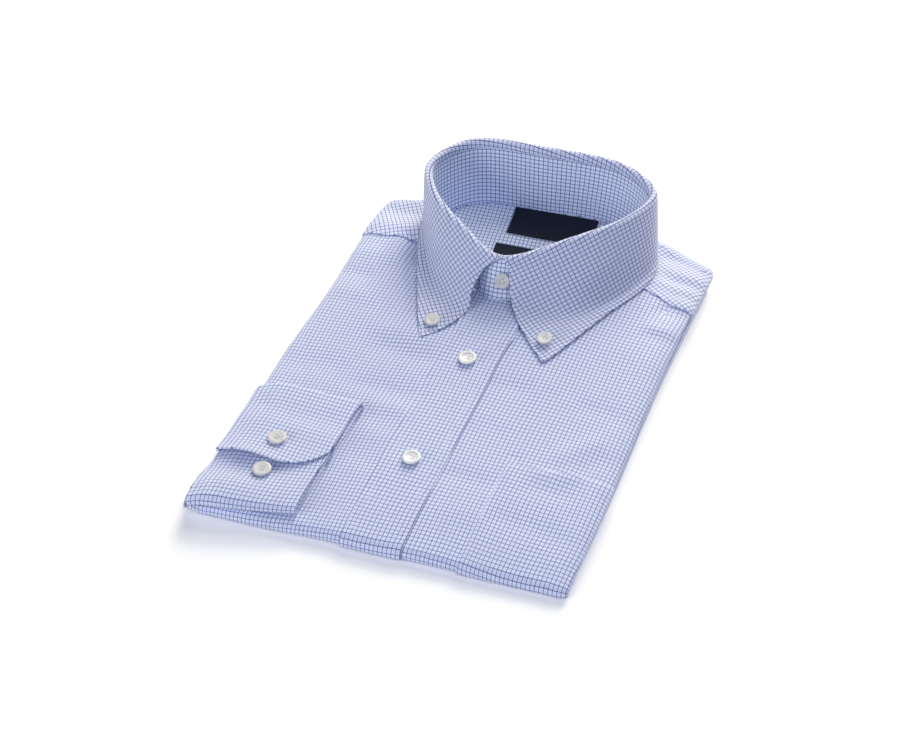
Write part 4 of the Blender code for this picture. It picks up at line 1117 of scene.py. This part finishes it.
def cuff_shape(u, v):
    """u runs from the wrist edge to the sleeve's end and over the side; v once round the cuff."""
    around = CUFF_REACH * u
    share = np.minimum(around, 1)
    x_at = wrist_x(-100.0) + (flat_end(-100.0, -1) - wrist_x(-100.0)) * share
    into = np.clip((x_at - wrist_x(CUFF_TOP) + OVERLAP_CORNER) / OVERLAP_CORNER, 0, 0.999)
    overlap = OVERLAP_END + OVERLAP_CORNER * (1 - np.sqrt(1 - into ** 2))
    top = CUFF_TOP - 5.0 * smooth((around - 0.8) / 0.8)
    start = CUFF_WRIST_LOW + (CUFF_SLEEVE_LOW - CUFF_WRIST_LOW) * around ** 0.9 * (1 - 0.12 * around)
    fold = WRIST_FOLD + SLEEVE_FOLD_MORE * smooth(around)

    def radius(y):
        return TOP_FOLD + 0.25 * smooth((CUFF_TOP - y) / 60) + (fold - 1.1) * smooth((start + 30 - y) / 27)

    low = CUFF_GAP + CUFF_THICK / 2
    top_turn = top - TOP_FOLD_WIDE
    k, t = legs(v, CUFF_STOPS)
    angle = math.pi * t
    y_over = overlap + (top_turn - overlap) * t
    y_under = start + (UNDERLAP_TOP - start) * t
    y = np.choose(k, (y_over, top_turn + TOP_FOLD_WIDE * np.sin(angle), top_turn + (start - top_turn) * t,
                      start - fold * np.sin(angle), y_under))
    lies = cuff_lies(y_over, y, x_at, around, overlap, share, k)
    rise = np.choose(k, (low + 2 * radius(y_over) + CUFF_LAYER + lies,
                         low + TOP_FOLD_WIDE + TOP_FOLD_WIDE * np.cos(angle), np.full(v.shape, low),
                         low + fold * (1 - np.cos(angle)), low + 2 * radius(y_under) + lies))
    rise = rise - 0.9 * smooth(around) * smooth((start + 14 - y) / 12)
    rise = low + (rise - low) * (1 - 0.35 * smooth((around - 0.82) / 0.5))

    under = np.choose(k, (0 * t, smooth(t), 1 + 0 * t, 1 - smooth(t), 0 * t))
    first = wrist_x(y) + 1.3 * under + 0.5 * np.sin(y * 0.11) * (k != 2)
    x = first + (flat_end(y, -1) - first) * share
    roll = np.where(around > 1, np.radians(ROLL_FROM - (ROLL_FROM - ROLL_TO) * (around - 1)), math.pi / 2)
    point, thread = on_shirt(x, y, roll, np.zeros(u.shape), -1, rise)
    keep_in(point)
    top_bend, hidden = TOP_FOLD_WIDE * math.pi, CUFF_TOP - CUFF_WRIST_LOW
    low_bend = top_bend + hidden
    low_turn = LOW_FOLD_CLOTH * math.pi
    used = np.choose(k, (y_over - top_turn, TOP_FOLD_WIDE * angle, top_bend + hidden * t,
                         low_bend + LOW_FOLD_CLOTH * angle, low_bend + low_turn + y_under - start))
    return point, np.stack([thread[:, 0] + 0.7, used], axis=-1)


cuff = cloth_piece("right_cuff", 84, 176, cuff_shape, CUFF_THICK, cloth, offset=0.0, turned=True, edge=0.4)
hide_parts("cuff_right")
stitches("cuff_stitches", [(cuff_shape, np.linspace(0.08, 0.72, 200), 0.024, 1),
                           (cuff_shape, 0.075, np.linspace(0.03, 0.235, 90), 1),
                           (cuff_shape, 0.075, np.linspace(0.77, 0.9, 60), 1)], CUFF_THICK / 2)


# ---------------------------------------------------------------- right sleeve
# The sleeve leaves the cuff at the side and goes round the side fold to the back of the shirt. Only a narrow
# strip of it shows there, both layers pressed together, with the small pleats that gather it into the cuff.

SLEEVE_LOW, SLEEVE_LONG = -153.5, 87
SLEEVE_THICK, SLEEVE_ABOVE = 1.5, 1.9
SLEEVE_ROLL_FROM = 9
PLEAT_HIGH, PLEATS = 0.35, 7.5


def sleeve_shape(u, v):
    y = SLEEVE_LOW + v * SLEEVE_LONG
    roll = np.radians(np.interp(u, (0, 1), (SLEEVE_ROLL_FROM, ROLL_TO)))
    pleat = PLEAT_HIGH * np.abs(np.sin(v * math.pi * PLEATS + 0.5)) * (1 - u)
    return on_shirt(np.zeros(u.shape), y, roll, np.zeros(u.shape), -1, SLEEVE_ABOVE + pleat)


sleeve = cloth_piece("right_sleeve", 14, 90, sleeve_shape, SLEEVE_THICK, cloth, turned=True, edge=0.3)
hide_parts("sleeve_right")


# ---------------------------------------------------------------- buttons
# Turned pearl-like buttons with a raised rim, a sunken middle and four holes. Each is sewn on with two bars
# of white cotton through its holes, and stands on a short thread shank.

BUTTON_R, BUTTON_HIGH = 5.7, 2.6
HOLE_R, HOLE_AT = 0.48, 1.1
BAR_R, BAR_HIGH = 0.16, 0.22
SHANK_R, SHANK_NECK_R, SHANK_LONG = 1.5, 1.3, 1.0
BUTTON_TURNED = 0.4
RIMMED = ((0.0, 0.15), (3.6, 0.15), (4.7, 0.35), (5.45, 0.85), (5.7, 1.45), (5.62, 2.0), (5.25, 2.42),
          (4.7, 2.6), (4.0, 2.5), (3.5, 2.1), (3.1, 1.75), (2.6, 1.6), (0.0, 1.55))
FLAT_TOPPED = ((0.0, 0.15), (3.6, 0.15), (4.7, 0.3), (5.5, 0.7), (5.7, 1.2), (5.6, 1.6), (5.2, 1.9),
               (4.6, 2.0), (3.9, 1.95), (3.1, 1.82), (2.4, 1.76), (0.0, 1.74))
BAR_Z = {"front": 1.62, "clear": 1.78}

# Each node's piece, its kind and how far it is nudged to sit on the finished cloth
BUTTONS = {
    "button_front_upper": ("front_button_upper", "front", (0.5, -1.6, 0.0)),
    "button_front_lower": ("front_button_lower", "front", (0.0, -0.5, 0.0)),
    "button_point_left": ("point_button_left", "clear", (2.2, 3.0, -1.9)),
    "button_point_right": ("point_button_right", "clear", (1.5, 1.4, -1.9)),
    "button_stand": ("stand_button", "clear", (1.8, 0.6, 1.2)),
    "button_cuff_overlap": ("cuff_button_overlap", "clear", (0.4, -3.0, 0.2)),
    "button_cuff_underlap": ("cuff_button_underlap", "clear", (0.2, -4.2, 0.2)),
}


def pearl(name, base, cloud, roughness, coat):
    """Pearl-like resin: milky, clouded and lightly polished."""
    mat, tree, shader = start_material(name, {
        "Roughness": roughness, "Coat Weight": coat, "Coat Roughness": 0.12, "Subsurface Weight": 0.25,
        "Subsurface Radius": (0.002, 0.0018, 0.0015), "Subsurface Scale": 0.6})
    body = wire(tree, "ShaderNodeTexCoord", {}).outputs["Object"]
    swirl = noise(tree, body, 260.0, 3.0, 0.55)["Fac"]
    fill(tree, shader, {"Base Color": blend_colour(tree, between(tree, swirl, 0.35, 0.65), base, cloud)})
    add_relief(tree, shader, swirl, 0.08, 0.0001)
    return mat


def button_blank(profile):
    """One button lying on its back at zero: a turned profile, bored with four holes."""
    bm = bmesh.new()
    points = [bm.verts.new((r, 0.0, z)) for r, z in profile]
    edges = [bm.edges.new(pair) for pair in zip(points, points[1:])]
    bmesh.ops.spin(bm, geom=points + edges, cent=(0, 0, 0), axis=(0, 0, 1), angle=2 * math.pi, steps=40,
                   use_merge=True)
    bmesh.ops.remove_doubles(bm, verts=bm.verts, dist=0.001)
    bmesh.ops.recalc_face_normals(bm, faces=bm.faces)
    drill = bmesh.new()
    for x, y in ((1, 1), (1, -1), (-1, 1), (-1, -1)):
        bmesh.ops.create_cone(drill, cap_ends=True, segments=14, radius1=HOLE_R, radius2=HOLE_R, depth=6,
                              matrix=Matrix.Translation((x * HOLE_AT, y * HOLE_AT, 1)))
    blank = placed("button_blank", mesh_from("button_blank", bm))
    holes = placed("button_holes", mesh_from("button_holes", drill))
    cut = blank.modifiers.new("holes", "BOOLEAN")
    cut.object = holes
    cut.solver = "EXACT"
    graph = bpy.context.evaluated_depsgraph_get()
    made = bpy.data.meshes.new_from_object(blank.evaluated_get(graph))
    for obj in (blank, holes):
        bpy.data.objects.remove(obj)
    return made


def sewn_bars(bm, face_z):
    """The thread: two doubled bars across the holes, and the shank below the button."""
    for y in (-HOLE_AT, HOLE_AT):
        for shift in (-BAR_R, BAR_R):
            made = bmesh.ops.create_uvsphere(bm, u_segments=10, v_segments=8, radius=1.0)["verts"]
            bmesh.ops.scale(bm, vec=(HOLE_AT + 0.3, BAR_R, BAR_HIGH), verts=made)
            bmesh.ops.translate(bm, vec=(0, y + shift, face_z), verts=made)
    made = bmesh.ops.create_cone(bm, cap_ends=True, segments=14, radius1=SHANK_R, radius2=SHANK_NECK_R,
                                 depth=SHANK_LONG)["verts"]
    bmesh.ops.translate(bm, vec=(0, 0, -0.1), verts=made)


def button_seat(node, nudge):
    """Where the node's button sits, from its own middle, axis and width, for a blank in millimetres."""
    corners = np.array([v.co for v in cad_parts[node].data.vertices])
    middle = (corners.max(axis=0) + corners.min(axis=0)) / 2
    spread = np.linalg.svd(corners - corners.mean(axis=0), full_matrices=False)[2]
    axis = Vector(spread[2])
    if axis.z < 0:
        axis = -axis
    size = float(np.abs((corners - middle) @ spread[0]).max()) / BUTTON_R
    face_up = axis.to_track_quat("Z", "Y").to_matrix().to_4x4()
    lie = Matrix.Translation(Vector(middle) + Vector(nudge) * MM) @ face_up
    lie = lie @ Matrix.Rotation(BUTTON_TURNED, 4, "Z")
    return lie @ Matrix.Diagonal((size, size, MM, 1.0)) @ Matrix.Translation((0, 0, -BUTTON_HIGH / 2))


pearls = {"front": pearl("front_pearl", (0.86, 0.855, 0.84, 1.0), (0.74, 0.75, 0.76, 1.0), 0.25, 0.45),
          "clear": pearl("clear_pearl", (0.66, 0.65, 0.64, 1.0), (0.57, 0.575, 0.59, 1.0), 0.4, 0.1)}
button_thread = sewing_thread("white_button_thread", (0.82, 0.82, 0.84))
blanks = {"front": button_blank(RIMMED), "clear": button_blank(FLAT_TOPPED)}
for node, (name, kind, nudge) in BUTTONS.items():
    bm = bmesh.new()
    bm.from_mesh(blanks[kind])
    pearl_faces = len(bm.faces)
    sewn_bars(bm, BAR_Z[kind])
    for k, face in enumerate(bm.faces):
        face.smooth = True
        face.material_index = int(k >= pearl_faces)
    bmesh.ops.transform(bm, matrix=button_seat(node, nudge), verts=bm.verts)
    bmesh.ops.recalc_face_normals(bm, faces=bm.faces)
    mesh = mesh_from(name, bm)
    mesh.materials.append(pearls[kind])
    mesh.materials.append(button_thread)
    mesh.set_sharp_from_angle(angle=math.radians(48))
    button = placed(name, mesh)
    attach(button, "root")
    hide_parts(node)
for blank in blanks.values():
    bpy.data.meshes.remove(blank)


# ---------------------------------------------------------------- neck label and size tab
# Woven navy satin with no lettering: the wide label lies on the yoke lining at the back of the neck, and the
# small tab in front of it. Each is a thin strip with heat-cut edges, and its long edges curl up a little.

LABEL_THICK, LABEL_ABOVE = 0.45, 0.75
LABEL_TURN = math.radians(6.5)
LABEL_COLOUR, LABEL_EDGE = (0.006, 0.009, 0.020, 1.0), (0.014, 0.020, 0.042, 1.0)

# Each node's piece, where its middle is, its width and its height
LABELS = {
    "neck_label": ("woven_neck_label", (5.0, 139.5), 55.0, 25.0),
    "size_tab": ("woven_tab", (-10.0, 106.5), 26.0, 14.0),
}


def satin(name):
    """Navy satin with a fine rib across it."""
    mat, tree, shader = start_material(name, {"Roughness": 0.6, "Specular IOR Level": 0.2})
    place = wire(tree, "ShaderNodeUVMap", {}, uv_map="thread").outputs[0]
    rib = ribs(tree, place, 11.0, 0.6, 2.0, "Y")
    share = math_node(tree, "MULTIPLY", rib, noise(tree, place, 30.0, 2.0, 0.5)["Fac"])
    fill(tree, shader, {"Base Color": blend_colour(tree, share, LABEL_COLOUR, LABEL_EDGE)})
    add_relief(tree, shader, rib, 0.4, 0.00005)
    return mat


def label_shape(centre, wide, high):
    cos, sin = math.cos(LABEL_TURN), math.sin(LABEL_TURN)

    def shape(u, v):
        across, up = (u - 0.5) * wide, (v - 0.5) * high
        x, y = centre[0] + across * cos - up * sin, centre[1] + across * sin + up * cos
        curl = 0.35 * np.exp(-np.minimum(v, 1 - v) * high / 2.5) + 0.2 * np.sin(u * 7 + 1) * hump(v, 0.5, 0.3)
        z = floor_height(x, y) + LABEL_ABOVE + curl
        return np.stack([x, y, z], axis=-1), np.stack([across, up], axis=-1)

    return shape


navy = satin("navy_satin")
for node, (name, centre, wide, high) in LABELS.items():
    strip = cloth_piece(name, 44, 22, label_shape(centre, wide, high), LABEL_THICK, navy, edge=0.12)
    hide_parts(node)


# ---------------------------------------------------------------- floor, light and camera
# A plain pale floor, a warm soft key lamp low behind, weaker fills round it, a dim surround, and a long lens
# that looks down on the folded shirt from its bottom edge and a little from its left side.

CAMERA_AIM = Vector((-9.18, -12.62, 14.5)) * MM
CAMERA_FAR, CAMERA_LENS = 1.8759, 122.89
CAMERA_TURN, CAMERA_DOWN = math.radians(21.27), math.radians(42.94)
FLOOR_HALF = 4.0
SURROUND_COLOUR, SURROUND_STRENGTH = (0.70, 0.80, 1.0, 1.0), 0.03

# Each lamp's name, place in metres, power and tint; all are soft squares that face the middle of the floor
LAMP_SIZE = 1.0
WARM, PLAIN, COOL = (1.0, 0.92, 0.70), (1.0, 1.0, 1.0), (0.85, 0.95, 1.25)
LAMPS = (
    ("low_behind", (0.0, 1.6, 0.9), 35.0, WARM),
    ("high_behind", (0.0, 1.2, 1.4), 12.0, PLAIN),
    ("behind_left", (0.8, 0.8, 1.4), 4.0, WARM),
    ("front_left_fill", (0.8, -0.8, 1.4), 10.0, COOL),
    ("low_front_right_fill", (-1.1, -1.2, 0.6), 16.0, PLAIN),
)

plate = bmesh.new()
bmesh.ops.create_grid(plate, x_segments=1, y_segments=1, size=FLOOR_HALF)
floor = placed("floor", mesh_from("floor", plate))
floor.data.materials.append(start_material("pale_floor", {
    "Base Color": (0.93, 0.93, 0.93, 1.0), "Roughness": 0.9, "Specular IOR Level": 0.1,
    "Emission Color": (1.0, 0.98, 0.95, 1.0), "Emission Strength": 0.09})[0])

world = bpy.data.worlds.new("surround")
world.use_nodes = True
fill(world.node_tree, world.node_tree.nodes["Background"], {0: SURROUND_COLOUR, 1: SURROUND_STRENGTH})
bpy.context.scene.world = world

for name, place, power, tint in LAMPS:
    lamp = bpy.data.lights.new(name, "AREA")
    lamp.energy = power
    lamp.size = LAMP_SIZE
    lamp.color = tint
    holder = placed(name, lamp)
    holder.location = place
    holder.rotation_euler = (-Vector(place)).to_track_quat("-Z", "Y").to_euler()

away = Vector((-math.sin(CAMERA_TURN), math.cos(CAMERA_TURN), 0.0))
look = away * math.cos(CAMERA_DOWN) - Vector((0, 0, 1)) * math.sin(CAMERA_DOWN)
lens = bpy.data.cameras.new("camera")
lens.lens = CAMERA_LENS
lens.sensor_width = 36.0
lens.clip_end = 20.0
camera = placed("camera", lens)
camera.location = CAMERA_AIM - look * CAMERA_FAR
camera.rotation_euler = look.to_track_quat("-Z", "Y").to_euler()
bpy.context.scene.camera = camera
bpy.context.scene.view_settings.view_transform = "Standard"

bpy.context.view_layer.update()
